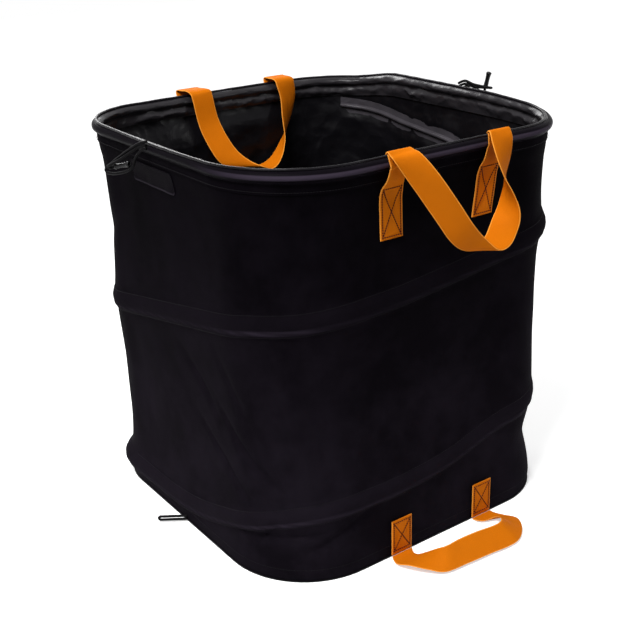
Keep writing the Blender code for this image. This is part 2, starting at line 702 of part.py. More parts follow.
def main():
    clear_scene()
    fabric = material("fabric", (0.028, 0.026, 0.030), 0.8)
    lining = material("lining", (0.035, 0.033, 0.038), 0.45)
    webbing = material("webbing", (0.80, 0.33, 0.03), 0.75)
    steel = material("steel", (0.45, 0.45, 0.47), 0.35, metallic=1.0)
    elastic = material("elastic", (0.030, 0.028, 0.032), 0.7)
    plastic = material("plastic", (0.012, 0.012, 0.014), 0.25)

    base_panel(fabric)
    side_wall(fabric)
    base_hem(fabric)
    hoop_wire("base_wire", BASE_ROLL_OUT, BASE_ROLL_HEIGHT, steel)
    ferrule("base_ferrule", BASE_ROLL_OUT, BASE_ROLL_HEIGHT, steel)
    spiral_wire(steel)
    spiral_sleeve(lining)
    label(lining)
    tip_tabs, tip_loop, tip_axis = tip_handle(webbing)

    rim_pieces = [rim_hem(fabric), rim_piping(fabric)]
    rim_pieces.append(hoop_wire("rim_wire", RIM_ROLL_OUT, RIM_ROLL_HEIGHT, steel))
    rim_pieces.append(ferrule("rim_ferrule", RIM_ROLL_OUT, RIM_ROLL_HEIGHT, steel))
    front_tabs, front_loop, front_axis = carry_handle(
        "front", 1 / 2, FRONT_CENTRE, FRONT_FOLD_RISE, FRONT_REACH, FRONT_DROP, FRONT_ROUTE_SHARES, webbing
    )
    rear_tabs, rear_loop, rear_axis = carry_handle(
        "rear", 0, REAR_CENTRE, REAR_FOLD_RISE, REAR_REACH, REAR_DROP, REAR_ROUTE_SHARES, webbing
    )
    rim = carried("rim", Vector((0, 0, RIM_ROLL_HEIGHT)), None, rim_pieces + front_tabs + rear_tabs)
    carried("front_handle", front_axis, rim, [front_loop])
    carried("rear_handle", rear_axis, rim, [rear_loop])
    carried("tip_handle", tip_axis, None, [tip_loop])

    for name, turn, loop_shares, lead_shares, ends in (
        ("left_toggle", 3 / 4, LEFT_LOOP_SHARES, LEFT_LEAD_SHARES, LEFT_BARREL_SHARES),
        ("right_toggle", 1 / 4, RIGHT_LOOP_SHARES, RIGHT_LEAD_SHARES, RIGHT_BARREL_SHARES),
    ):
        pieces, root = toggle(name, turn, loop_shares, lead_shares, ends, elastic, plastic)
        carried(name, root, rim, pieces)
    for name, turn in (("left_base_loop", 3 / 4), ("right_base_loop", 1 / 4)):
        loop, root = base_loop(name, turn, elastic)
        carried(f"{name}_joint", root, None, [loop])


main()
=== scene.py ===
"""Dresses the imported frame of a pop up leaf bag: fabric, webbing, stitches, toggles and the stage.

Metres, +Z up. A turn runs clockwise from above, from the middle of the rear face (+Y), once round the bag.
"""

from math import acos, atan2, cos, exp, pi, radians, sin, sqrt, tau

import bmesh
import bpy
from bpy.props import FloatProperty, FloatVectorProperty, PointerProperty
from mathutils import Matrix, Vector, noise


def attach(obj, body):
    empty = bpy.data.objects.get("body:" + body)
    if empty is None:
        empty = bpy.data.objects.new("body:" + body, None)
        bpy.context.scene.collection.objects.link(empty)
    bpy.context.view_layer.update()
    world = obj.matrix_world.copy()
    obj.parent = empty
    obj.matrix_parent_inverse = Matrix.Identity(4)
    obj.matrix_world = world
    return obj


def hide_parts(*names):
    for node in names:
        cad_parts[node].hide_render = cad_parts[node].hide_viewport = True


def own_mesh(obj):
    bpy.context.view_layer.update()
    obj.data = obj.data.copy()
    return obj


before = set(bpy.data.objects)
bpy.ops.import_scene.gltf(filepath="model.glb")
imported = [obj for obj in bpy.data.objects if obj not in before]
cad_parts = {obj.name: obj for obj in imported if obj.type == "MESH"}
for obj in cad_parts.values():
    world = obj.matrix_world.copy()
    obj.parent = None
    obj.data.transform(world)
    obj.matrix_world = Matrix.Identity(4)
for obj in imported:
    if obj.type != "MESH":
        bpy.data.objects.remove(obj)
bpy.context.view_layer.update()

bl_info = {
    "name": "Pop Up Leaf Bag",
    "version": (1, 0, 0),
    "blender": (4, 5, 0),
    "location": "View3D > Sidebar > Leaf Bag",
    "description": "Builds the fabric, webbing, stitches and toggles of a pop up leaf bag on its frame",
    "category": "Object",
}

# Sizes of the frame
BAG_HEIGHT = 0.604
WALL_HALF = 0.272
WALL_TOP = 0.5918
CORNER_RADII = (0.135, 0.115)
PANEL_THICKNESS = 0.002
LAYER_GAP = 0.0003
RIM_ROLL_OUT = 0.0002
RIM_ROLL_RADIUS = 0.0078
RIM_ROLL_HEIGHT = BAG_HEIGHT - RIM_ROLL_RADIUS
HEM_MIDDLE = 0.5917
HEM_UP = 0.0074
HEM_OUT = 0.0077
HEM_BORE = 0.0026
SKIRT_FOOT = 0.569
SKIRT_INNER_OUT = -0.0023
FACING_ROW = 17
BASE_ROLL_RADIUS = 0.0075
BASE_ROLL_OUT = -0.0098
BASE_ROLL_HEIGHT = 0.0098
BASE_BORE = 0.0035
SPIRAL_WIRE_OUT = -0.0046
WEBBING_WIDTH = 0.038
WEBBING_THICKNESS = 0.0018
HANDLE_SPAN = 0.161
FOLD_SPAN = 0.173
FOLD_OUT = 0.0135
TIP_TAB_TOP = 0.061
CARRY_TAB_FOOT = 0.490
TAB_NECK = 0.586
TAB_NECK_REACH = 0.034

# Warp of the rim hoop: how high, over which turns, from which height up, and how soon it comes and goes
HOOP_LIFT = 0.0095
HOOP_LIFT_START = 0.13
HOOP_LIFT_ONSET = 0.05
HOOP_LIFT_END = 0.39
HOOP_LIFT_FADE = 0.11
HOOP_LIFT_FOOT = 0.552
HOOP_LIFT_RISE = 0.03

# Doubled band over the spiral and the ridge of its wire, with drops below the spiral's middle line
BAND_HALF = 0.0165
BAND_DROP = 0.002
BAND_RISE = 0.0018
BAND_TOP = 0.566
GROOVE_DEPTH = 0.0010
WIRE_DROP = 0.0115
RIDGE_RISE = 0.0014
RIDGE_REACH = 0.0045

# Hollows of the wall: the gap that gives the set depth, the most of that depth, and how full their curve is
HOLLOW_GAP = 0.3
HOLLOW_MOST = 1.25
HOLLOW_POWER = 0.85

# Heights that hold the wall out or end its folds
HELD_FOOT = 0.008
HELD_TOP = 0.582
FOLDS_TOP = 0.572
FOOT_TUCK = 0.0016

# Numbers kept at the vertices for the materials to read
BAND_REACH = 0.03
BAND_LAYER = "near_spiral"
WIRE_LAYER = "near_wire"
# Share of painted highlight kept at each vertex.
HIGHLIGHT_LAYER = "painted_highlight"

# Steps of the meshes along their pieces, and the steps between two points of a loop's route
RIM_STEP = 0.004
PIPING_STEP = 0.005
BASE_HEM_STEP = 0.006
PANEL_STEP = 0.012
STRIP_STEP = 0.006
SEAM_STEP = 0.008
TAB_STEP = 0.004
TIP_TAB_STEP = 0.003
LOOP_STEPS = 8

# What follows from the sizes
SIDES = 4
SIDE_LENGTHS = [2 * (WALL_HALF - radius) + radius * pi / 2 for radius in CORNER_RADII]
LAP = 2 * sum(SIDE_LENGTHS)
UP = Vector((0, 0, 1))

# Course of the spiral: turn and height of its middle line
SPIRAL = (
    (0.120, 0.5510),
    (0.149, 0.5443),
    (0.187, 0.5319),
    (0.227, 0.5242),
    (0.258, 0.5159),
    (0.310, 0.4840),
    (0.363, 0.4489),
    (0.442, 0.4298),
    (0.490, 0.4180),
    (0.536, 0.4082),
    (0.579, 0.4040),
    (0.613, 0.3979),
    (0.647, 0.3922),
    (0.702, 0.3721),
    (0.779, 0.3432),
    (0.842, 0.3210),
    (1.000, 0.2828),
    (1.124, 0.2493),
    (1.360, 0.1699),
    (1.434, 0.1560),
    (1.486, 0.1272),
    (1.535, 0.1164),
    (1.581, 0.1164),
    (1.618, 0.1092),
    (1.657, 0.0891),
    (1.725, 0.0482),
    (1.770, 0.0353),
    (1.830, 0.0353),
)
SPIRAL_START_TURN = SPIRAL[0][0]
SPIRAL_END_TURN = SPIRAL[-1][0]

# Routes of the webbing loops: across, out, down (mm from the left fold), then turn and lean in degrees
FRONT_ROUTE = (
    (0, 0.2, 0.6, 0, 0),
    (0.2, 1.2, -1.6, 0, 0),
    (0.7, 3.4, -2.4, 1, 1),
    (2, 7.2, 0.4, 4, 3),
    (6.2, 16, 7.9, 15, 10),
    (28.2, 25.4, 40, 29, 22),
    (56.1, 34, 82.1, 25, 28),
    (76.5, 38.3, 112.1, 22, 27),
    (98.3, 37.6, 132.4, 15, 16),
    (123.9, 37.5, 146.6, 22, -6),
    (148.6, 31.9, 142.3, 38, -15),
    (167.1, 25, 128.8, 45, -14),
    (179.2, 20.9, 106.8, 78, 4),
    (181.1, 17.3, 81.9, 112, 6),
    (176.8, 15, 60.2, 136, 6),
    (174.2, 13.9, 34.7, 162, 3),
    (173, 10.8, 12, 180, 0),
    (173, 6.4, 0.5, 180, 0),
    (173, 3.4, -2.4, 180, 0),
    (173, 1.2, -1.6, 180, 0),
    (173, 0.2, 0.6, 180, 0),
)
REAR_ROUTE = (
    (0, 0.2, 0.6, 0, 0),
    (0.5, 1.4, -1.8, 0, 0),
    (1.5, 4, -2.6, 0, 0),
    (3.5, 8.6, -2, 0, 0),
    (8.6, 20.2, -1.6, 0, 0),
    (12.1, 27.4, 1.6, 0, 4),
    (13.8, 30.6, 11.9, 0, 8),
    (20.4, 37.4, 56.8, 0, 20),
    (35.3, 56.9, 101.6, 4, 20),
    (55, 68.8, 122.2, 22, 14),
    (78.2, 74.5, 130.3, 58, 9),
    (102.1, 74.2, 133.2, 86, 0),
    (123.7, 67, 129, 97, -1),
    (143.4, 55.7, 118.4, 105, -1),
    (157.8, 45.7, 106.5, 113, -1),
    (167.8, 40.7, 92.1, 125, -2),
    (178.7, 32.1, 62.7, 149, 0),
    (184.4, 28.8, 32.7, 166, 1),
    (180.8, 28.8, 11.2, 176, 1),
    (179.1, 26.8, 1.3, 180, 0),
    (176.5, 20.2, -1.6, 180, 0),
    (174.6, 8.6, -2, 180, 0),
    (174, 4, -2.6, 180, 0),
    (173.2, 1.4, -1.8, 180, 0),
    (173, 0.2, 0.6, 180, 0),
)
TIP_ROUTE = (
    (0, -0.9, 0.2, 0, 0),
    (-5.5, 8.4, -0.9, -1, 0),
    (-8.4, 18.7, -2.7, -8, 0),
    (-4.2, 32.5, -6.9, -25, -5),
    (9.5, 50.7, -11, -38, 14),
    (25, 66.7, -14.5, -53, 38),
    (58.4, 68.6, -14.8, -73, 38),
    (96.9, 70.6, -14.2, -91, 38),
    (128.6, 73.3, -13.2, -97, 35),
    (149.7, 71.2, -13.2, -109, 35),
    (168.4, 56.1, -10.3, -128, 25),
    (179.2, 35.2, -5, -147, 8),
    (168.4, 21.3, -2.1, -169, 1),
    (161.6, 10.5, -1.5, -177, 0),
    (161, -0.9, 0.2, -180, 0),
)

# Carry handles: turn, middle along X, fold height, route, folded share, and each tab's twist and bow
HANDLES = {
    "front": {
        "turn": 0.5,
        "centre": 0.002,
        "fold": 0.609,
        "route": FRONT_ROUTE,
        "keep": 0.32,
        "tabs": {"left": (20, 0.0), "right": (13, 0.003)},
    },
    "rear": {
        "turn": 0.0,
        "centre": 0.025,
        "fold": 0.607,
        "route": REAR_ROUTE,
        "keep": 0.34,
        "tabs": {"left": (0, 0.0), "right": (0, 0.0)},
    },
}
TIP_CENTRE = 0.016
TIP_FOLD_OUT = 0.0036
TIP_FOLD_HEIGHT = 0.0013

# Creases of the wall: turn and height of both ends, half width and depth in millimetres
CREASES = (
    (0.634, 0.370, 0.606, 0.130, 12, -4.2),
    (0.616, 0.350, 0.588, 0.130, 12, 3.6),
    (0.655, 0.500, 0.650, 0.380, 14, 1.0),
    (0.700, 0.250, 0.625, 0.130, 9, 4.2),
    (0.725, 0.200, 0.640, 0.095, 7, 3.4),
    (0.740, 0.300, 0.690, 0.210, 8, 2.4),
    (0.690, 0.330, 0.655, 0.230, 8, 2.2),
    (0.560, 0.095, 0.620, 0.040, 6, 4.2),
    (0.590, 0.080, 0.680, 0.060, 5, 3.6),
    (0.630, 0.100, 0.660, 0.045, 5, 3.4),
    (0.520, 0.330, 0.470, 0.230, 12, 1.8),
    (0.430, 0.250, 0.400, 0.180, 11, 2.0),
    (0.540, 0.520, 0.560, 0.440, 12, 1.4),
    (0.450, 0.340, 0.560, 0.150, 18, 1.2),
    (0.380, 0.430, 0.350, 0.200, 15, 1.8),
    (0.300, 0.330, 0.370, 0.160, 16, 1.6),
    (0.800, 0.500, 0.880, 0.400, 16, 1.8),
    (0.930, 0.480, 0.870, 0.380, 14, 1.6),
    (0.080, 0.450, 0.170, 0.240, 18, 2.2),
    (0.980, 0.300, 0.900, 0.120, 16, 2.0),
    (0.120, 0.160, 0.200, 0.060, 14, 1.8),
)

# Bulges of the wall: turn and height of the middle, reach along and up, and millimetres out
BULGES = (
    (0.860, 0.030, 0.040, 0.016, 12),
    (0.840, 0.322, 0.030, 0.016, 3),
    (0.370, 0.440, 0.030, 0.018, 5),
    (0.372, 0.095, 0.036, 0.036, -9),
)


# Paths on the bag


def turned(vector, angle):
    """A vector in plan, turned counter-clockwise."""
    x = vector.x * cos(angle) - vector.y * sin(angle)
    y = vector.x * sin(angle) + vector.y * cos(angle)
    return Vector((x, y, 0))


def face_axes(turn):
    """Outward and clockwise directions of the face whose middle is nearest to a turn."""
    outward = turned(Vector((0, 1, 0)), -round(turn * SIDES) * tau / SIDES)
    return outward, turned(outward, -tau / SIDES)


def plan(turn):
    """The point on the wall's outer outline in plan, and the direction out of it."""
    outward, forward = face_axes(turn)
    face = round(turn * SIDES)
    share = turn * SIDES - face
    corner = face if share >= 0 else face - 1
    if share < 0:
        forward = -forward
    radius = CORNER_RADII[corner % 2]
    along = abs(share) * SIDE_LENGTHS[corner % 2]
    straight = min(along, WALL_HALF - radius)
    bend = (along - straight) / radius
    radial = outward * cos(bend) + forward * sin(bend)
    return outward * (WALL_HALF - radius) + forward * straight + radial * radius, radial


def face_turn(turn, along):
    """The turn of a point on the flat of a face, by its distance clockwise from the face's middle."""
    corner = round(turn * SIDES) - (0 if along >= 0 else 1)
    return turn + along / (SIDES * SIDE_LENGTHS[corner % 2])


def hoop_lift(turn, height):
    """How far the warped rim hoop lifts a point near it."""
    at = turn % 1
    share = ease((at - HOOP_LIFT_START) / HOOP_LIFT_ONSET) * ease((HOOP_LIFT_END - at) / HOOP_LIFT_FADE)
    return HOOP_LIFT * share * ease((height - HOOP_LIFT_FOOT) / HOOP_LIFT_RISE)


def off_wall(turn, out, height):
    """A point out from the wall's outer outline."""
    point, radial = plan(turn)
    return point + radial * out + UP * (height + hoop_lift(turn, height))


def ease(share):
    """A share from 0 to 1, eased at both ends."""
    share = min(max(share, 0), 1)
    return share * share * (3 - 2 * share)


def spiral_slope(index):
    """How fast the spiral rises per turn at one of its rows."""
    low, high = SPIRAL[max(index - 1, 0)], SPIRAL[min(index + 1, len(SPIRAL) - 1)]
    return (high[1] - low[1]) / (high[0] - low[0])


def spiral_height(turn):
    """Height of the spiral's middle line, run on past its ends into the rim and the base."""
    run_out = 0.6
    if turn <= SPIRAL_START_TURN:
        return SPIRAL[0][1] + (SPIRAL_START_TURN - turn) * run_out
    if turn >= SPIRAL_END_TURN:
        return SPIRAL[-1][1] - (turn - SPIRAL_END_TURN) * run_out
    index = max(row for row, (start, _) in enumerate(SPIRAL[:-1]) if start <= turn)
    (start, first), (end, second) = SPIRAL[index], SPIRAL[index + 1]
    length = end - start
    t = (turn - start) / length
    height = first * (1 + 2 * t) * (1 - t) ** 2 + second * t * t * (3 - 2 * t)
    bend = spiral_slope(index) * t * (1 - t) ** 2 - spiral_slope(index + 1) * t * t * (1 - t)
    return height + length * bend


def spiral_turns(pitch):
    """Turns along the whole spiral at an even pitch."""
    whole = SPIRAL_END_TURN - SPIRAL_START_TURN
    steps = round(whole * LAP / pitch)
    return [SPIRAL_START_TURN + whole * step / steps for step in range(steps + 1)]


def near_spiral(turn, height, drop):
    """How far inside the band's reach a point of the wall lies, from a line at a drop below the spiral."""
    near = 0
    for lap in (0, 1):
        at = turn % 1 + lap
        held = min(max(at, SPIRAL_START_TURN), SPIRAL_END_TURN)
        away = height + drop - spiral_height(held)
        near = max(near, BAND_REACH - sqrt(away**2 + ((at - held) * LAP) ** 2))
    return near


def held_heights(turn):
    """Heights at which the hoops and the spiral hold the wall out, lowest first."""
    heights = [HELD_FOOT, HELD_TOP]
    for lap in (0, 1):
        heights.append(min(max(spiral_height(turn % 1 + lap), HELD_FOOT), HELD_TOP))
    return sorted(heights)


def hollow_between(turn, height, deepest):
    """How far the wall pulls in between what holds it out, and how free it is there, from 0 to 1."""
    held = held_heights(turn)
    hollow, free = 0, 1
    for low, high in zip(held, held[1:]):
        if low <= height <= high and high - low > 1e-5:
            share = (height - low) / (high - low)
            free = 4 * share * (1 - share)
            hollow = -min(deepest * (high - low) / HOLLOW_GAP, deepest * HOLLOW_MOST) * free**HOLLOW_POWER
    straight = 1 - abs(turn * SIDES - round(turn * SIDES)) * 2
    return hollow * (0.75 + 0.35 * ease(straight * 1.6)), free


def band_rise(turn, height):
    """How far the doubled band over the spiral stands out, with its grooves and the wire's ridge."""
    band = 0
    for lap in (0, 1):
        at = turn % 1 + lap
        if SPIRAL_START_TURN < at < SPIRAL_END_TURN:
            rise = height - spiral_height(at)
            away = abs(rise + BAND_DROP) / BAND_HALF
            ends = ease(min(at - SPIRAL_START_TURN, SPIRAL_END_TURN - at) / 0.012)
            if away < 1:
                band += BAND_RISE * (1 - away**2) * ends
            elif away < 1.5:
                band -= GROOVE_DEPTH * (1 - abs(away - 1.15) / 0.35) * ends
            band += RIDGE_RISE * exp(-(((rise + WIRE_DROP) / RIDGE_REACH) ** 2)) * ends
    return band


def crease_depth(turn, height):
    """How far the wall's creases push it in."""
    depth = 0
    for turn_a, height_a, turn_b, height_b, half_width, deep in CREASES:
        ax, ay = (turn_b - turn_a) * LAP, height_b - height_a
        px, py = (turn - turn_a) * LAP, height - height_a
        length = sqrt(ax * ax + ay * ay)
        share = (px * ax + py * ay) / length**2
        if -0.3 < share < 1.3:
            away = abs(px * ay - py * ax) / length / (half_width / 1000)
            if away < 3:
                depth += deep / 1000 * exp(-away * away) * ease(1 - abs(share - 0.5) / 0.8) * 1.4
    return depth


def bulge_height(turn, height):
    """How far the wall's bulges push it out."""
    out = 0
    for at, level, reach, tall, most in BULGES:
        out += most / 1000 * exp(-(((turn - at) / reach) ** 2) - ((height - level) / tall) ** 2)
    return out


def slack(turn, height, shape):
    """How far the wall's outer face stands out from its outline."""
    hollow, free = hollow_between(turn, height, shape.hollow)
    point = plan(turn)[0]
    soft = noise.noise(Vector((point.x * 9, point.y * 9, height * 5)))
    finer = noise.noise(Vector((point.x * 26, point.y * 26, height * 17 + 7)))
    folds = (soft * 0.55 + finer * 0.22) * shape.fold * ease(free * 1.5)
    creases = crease_depth(turn % 1, height) * ease(free * 2.2)
    fade = ease((FOLDS_TOP - height) / 0.03) * ease((height - 0.006) / 0.05)
    band = band_rise(turn, height) * ease((BAND_TOP - height) / 0.012)
    foot = -FOOT_TUCK * (1 - ease(height / 0.016))
    return (hollow + folds - creases) * fade + band + foot + bulge_height(turn % 1, height)


def crinkle(point, scale):
    """Crumpled film: a height from 0 to 1 with sharp ridges."""
    at = point * scale
    first = 1 - abs(noise.noise(at))
    second = 1 - abs(noise.noise(at * 2.3 + Vector((3.1, 7.7, 1.9))))
    return first * first * 0.7 + second * second * 0.3


def smooth(rows, steps):
    """Rows of numbers on one smooth curve through the given rows."""
    padded = [rows[0], *rows, rows[-1]]
    found = []
    for a, b, c, d in zip(padded, padded[1:], padded[2:], padded[3:]):
        for step in range(steps):
            t = step / steps
            weights = (
                (-t + 2 * t**2 - t**3) / 2,
                (2 - 5 * t**2 + 3 * t**3) / 2,
                (t + 4 * t**2 - 3 * t**3) / 2,
                (t**3 - t**2) / 2,
            )
            found.append([sum(w * v for w, v in zip(weights, four)) for four in zip(a, b, c, d)])
    return [*found, list(rows[-1])]


def arc(out, height, radius, start, end, steps):
    """Points of an arc in a section, its angles measured up from outwards."""
    angles = [start + (end - start) * step / steps for step in range(steps + 1)]
    return [(out + radius * cos(angle), height + radius * sin(angle)) for angle in angles]


# Meshes


def link(name, data):
    """A new object in the scene."""
    made = bpy.data.objects.new(name, data)
    bpy.context.scene.collection.objects.link(made)
    return made


def sweep(name, loops, closed, finishes, pick=None):
    """A closed skin over loops of points, mapped in metres along the sweep and round its section."""
    count, size = len(loops), len(loops[0])
    points = [point for loop in loops for point in loop]
    middles = [sum(loop, Vector()) / size for loop in loops]
    along = [0.0]
    for one, other in zip(middles, middles[1:] + middles[:1]):
        along.append(along[-1] + (other - one).length)
    around = [0.0]
    for index in range(size):
        around.append(around[-1] + (loops[0][(index + 1) % size] - loops[0][index]).length)
    faces, maps, slots = [], [], []
    for row in range(count if closed else count - 1):
        after = (row + 1) % count
        for index in range(size):
            side = (index + 1) % size
            faces.append((row * size + index, row * size + side, after * size + side, after * size + index))
            low, high, left, right = along[row], along[row + 1], around[index], around[index + 1]
            maps += [(low, left), (low, right), (high, right), (high, left)]
            slots.append(pick(index) if pick else 0)
    if not closed:
        for row in (0, count - 1):
            faces.append(tuple(row * size + index for index in range(size)))
            maps += [(along[row], around[index]) for index in range(size)]
            slots.append(0)
    mesh = bpy.data.meshes.new(name)
    mesh.from_pydata(points, [], faces)
    for finish in finishes:
        mesh.materials.append(finish)
    mesh.polygons.foreach_set("material_index", slots)
    layer = mesh.uv_layers.new(name="UVMap")
    layer.data.foreach_set("uv", [value for pair in maps for value in pair])
    return face_out(link(name, mesh))


def face_out(piece):
    """Turn a closed piece's faces outwards and shade it smooth."""
    bm = bmesh.new()
    bm.from_mesh(piece.data)
    bmesh.ops.recalc_face_normals(bm, faces=bm.faces)
    bm.to_mesh(piece.data)
    bm.free()
    piece.data.shade_smooth()
    piece.data.set_sharp_from_angle(angle=radians(50))
    return piece


def dress(piece, body, nodes=()):
    """Let a piece ride on a body, in place of CAD nodes."""
    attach(piece, body)
    if nodes:
        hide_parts(*nodes)


def add_layer(piece, name, values):
    """Keep a number at each vertex of a piece, for its material to read."""
    layer = piece.data.attributes.new(name, "FLOAT", "POINT")
    layer.data.foreach_set("value", values)


def crumple(piece):
    """Give a piece its own copy of its mesh."""
    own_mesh(piece)


def even_turns(pitch):
    """Turns of one lap at an even pitch, with stations at every end of a straight."""
    shares = [(WALL_HALF - radius) / length for radius, length in zip(CORNER_RADII, SIDE_LENGTHS)]
    turns = []
    for side in range(SIDES):
        before, after = shares[(side - 1) % 2], shares[side % 2]
        for start, end in ((side - before, side + after), (side + after, side + 1 - after)):
            steps = max(1, round((end - start) * LAP / SIDES / pitch))
            turns += [(start + (end - start) * step / steps) / SIDES for step in range(steps)]
    return turns


# Node trees


def tree_socket(tree, name, kind, in_out, default=None):
    """A socket on a group, with its default."""
    made = tree.interface.new_socket(name=name, in_out=in_out, socket_type=kind)
    if default is not None:
        made.default_value = default
    return made


def shader_group(name, inputs, outputs):
    """A shader node group with value inputs, and its two ends."""
    tree = bpy.data.node_groups.new(name, "ShaderNodeTree")
    for label, kind, default in inputs:
        tree_socket(tree, label, kind, "INPUT", default)
    for label, kind in outputs:
        tree_socket(tree, label, kind, "OUTPUT")
    return tree, tree.nodes.new("NodeGroupInput"), tree.nodes.new("NodeGroupOutput")


def put(tree, kind, inputs=None, **settings):
    """A node with its settings, and its inputs set or linked by name or place."""
    node = tree.nodes.new(kind)
    for key, value in settings.items():
        setattr(node, key, value)
    for key, value in (inputs or {}).items():
        if isinstance(value, bpy.types.NodeSocket):
            tree.links.new(value, node.inputs[key])
        else:
            node.inputs[key].default_value = value
    return node


def math(tree, operation, first, second=0.0, third=0.0):
    """The result of a math node."""
    node = put(tree, "ShaderNodeMath", {0: first, 1: second, 2: third}, operation=operation)
    return node.outputs[0]


def remap(tree, value, from_low, from_high, to_low, to_high):
    """A value mapped from one range to another."""
    names = {"Value": value, "From Min": from_low, "From Max": from_high, "To Min": to_low, "To Max": to_high}
    return put(tree, "ShaderNodeMapRange", names).outputs["Result"]


def mixed(tree, share, first, second):
    """One colour mixed with another."""
    node = put(tree, "ShaderNodeMix", {0: share, 6: first, 7: second}, data_type="RGBA")
    return node.outputs[2]


def vertex_value(tree, layer):
    """A number kept at the vertices."""
    return put(tree, "ShaderNodeAttribute", attribute_name=layer).outputs["Fac"]


def texture_noise(tree, vector, scale, detail, **more):
    """Noise over a surface: its height."""
    inputs = {"Vector": vector, "Scale": scale, "Detail": detail}
    inputs.update({key.title(): value for key, value in more.items()})
    return put(tree, "ShaderNodeTexNoise", inputs).outputs[0]


def yarn_group(name, pitches):
    """A group for woven stuff, with a vector, two pitches, and a relief and a tone to put out."""
    inputs = [("Vector", "NodeSocketVector", None)]
    inputs += [(label, "NodeSocketFloat", default) for label, default in pitches]
    outputs = (("Relief", "NodeSocketFloat"), ("Tone", "NodeSocketFloat"))
    tree, start, end = shader_group(name, inputs, outputs)
    split = put(tree, "ShaderNodeSeparateXYZ", {0: start.outputs["Vector"]})
    return tree, start, end, split


def weave_group():
    """Crossing yarns: their relief, and a tone that follows it."""
    tree, start, end, split = yarn_group("Weave", (("Warp Pitch", 0.001), ("Weft Pitch", 0.001)))
    warp = math(tree, "DIVIDE", split.outputs["Y"], start.outputs["Warp Pitch"])
    weft = math(tree, "DIVIDE", split.outputs["X"], start.outputs["Weft Pitch"])
    tops = []
    for along, across in ((warp, weft), (weft, warp)):
        wave = math(tree, "SINE", math(tree, "MULTIPLY", along, pi))
        over = math(tree, "COSINE", math(tree, "MULTIPLY", across, pi))
        tops.append(math(tree, "ABSOLUTE", math(tree, "MULTIPLY", wave, over)))
    relief = math(tree, "MAXIMUM", *tops)
    tree.links.new(relief, end.inputs["Relief"])
    tree.links.new(remap(tree, relief, 0.2, 0.95, 0, 1), end.inputs["Tone"])
    return tree


def rib_group():
    """Webbing: ribs across the strap, split by yarns along it."""
    tree, start, end, split = yarn_group("Webbing Ribs", (("Rib Pitch", 0.0012), ("Yarn Pitch", 0.0016)))
    yarn = math(tree, "DIVIDE", split.outputs["Y"], start.outputs["Yarn Pitch"])
    shift = math(tree, "MULTIPLY", math(tree, "PINGPONG", yarn, 1.0), 0.6)
    rib = math(tree, "ADD", math(tree, "DIVIDE", split.outputs["X"], start.outputs["Rib Pitch"]), shift)
    waves = []
    for course, share in ((rib, 0.65), (yarn, 0.35)):
        wave = math(tree, "ABSOLUTE", math(tree, "SINE", math(tree, "MULTIPLY", course, pi)))
        waves.append(math(tree, "MULTIPLY", wave, share))
    relief = math(tree, "ADD", *waves)
    tree.links.new(relief, end.inputs["Relief"])
    tree.links.new(remap(tree, relief, 0.25, 0.95, 0, 1), end.inputs["Tone"])
    return tree


def lint_group():
    """Dust and lint on dark cloth: a soft cloudy mask with a few specks."""
    inputs = (("Vector", "NodeSocketVector", None), ("Amount", "NodeSocketFloat", 0.5))
    tree, start, end = shader_group("Lint", inputs, (("Mask", "NodeSocketFloat"),))
    vector = start.outputs["Vector"]
    cloud = texture_noise(tree, vector, 7.0, 5.0)
    speck = texture_noise(tree, vector, 330.0, 2.0)
    patch = texture_noise(tree, vector, 31.0, 6.0, roughness=0.65)
    blend = math(tree, "ADD", math(tree, "MULTIPLY", cloud, 0.6), math(tree, "MULTIPLY", patch, 0.4))
    clouds = remap(tree, blend, 0.42, 0.64, 0, 1)
    specks = remap(tree, speck, 0.68, 0.78, 0, 0.6)
    mask = math(tree, "MULTIPLY", math(tree, "ADD", clouds, specks), start.outputs["Amount"])
    tree.links.new(mask, end.inputs["Mask"])
    return tree


def crumple_group():
    """Creases of thin coated cloth: a relief of sharp folds."""
    inputs = (("Vector", "NodeSocketVector", None), ("Scale", "NodeSocketFloat", 20.0))
    tree, start, end = shader_group("Crumple", inputs, (("Relief", "NodeSocketFloat"),))
    vector, scale = start.outputs["Vector"], start.outputs["Scale"]
    bend = put(tree, "ShaderNodeTexNoise", {"Vector": vector, "Scale": 6.0, "Detail": 2.0})
    push = put(tree, "ShaderNodeVectorMath", {0: bend.outputs["Color"], 3: 0.06}, operation="SCALE")
    moved = put(tree, "ShaderNodeVectorMath", {0: vector, 1: push.outputs[0]}, operation="ADD").outputs[0]
    names = {"Vector": moved, "Scale": scale, "Detail": 5.0, "Roughness": 0.55}
    folds = put(tree, "ShaderNodeTexNoise", names, noise_type="RIDGED_MULTIFRACTAL", normalize=True)
    cells = put(tree, "ShaderNodeTexVoronoi", {"Vector": moved, "Scale": scale})
    sharp = math(tree, "MULTIPLY", folds.outputs[0], 0.7)
    relief = math(tree, "ADD", sharp, math(tree, "MULTIPLY", cells.outputs["Distance"], 0.5))
    tree.links.new(relief, end.inputs["Relief"])
    return tree


def effect(tree, name, maker, inputs):
    """A shared node group placed in a material, built at its first use."""
    shared = bpy.data.node_groups.get(name) or maker()
    return put(tree, "ShaderNodeGroup", inputs, node_tree=shared).outputs


def base_material(name, roughness, **settings):
    """A Principled material with plain values on its own sockets."""
    made = bpy.data.materials.new(name)
    made.use_nodes = True
    shader = made.node_tree.nodes["Principled BSDF"]
    shader.inputs["Roughness"].default_value = roughness
    for key, value in settings.items():
        shader.inputs[key.replace("_", " ").title().replace("Ior", "IOR")].default_value = value
    return made, made.node_tree, shader


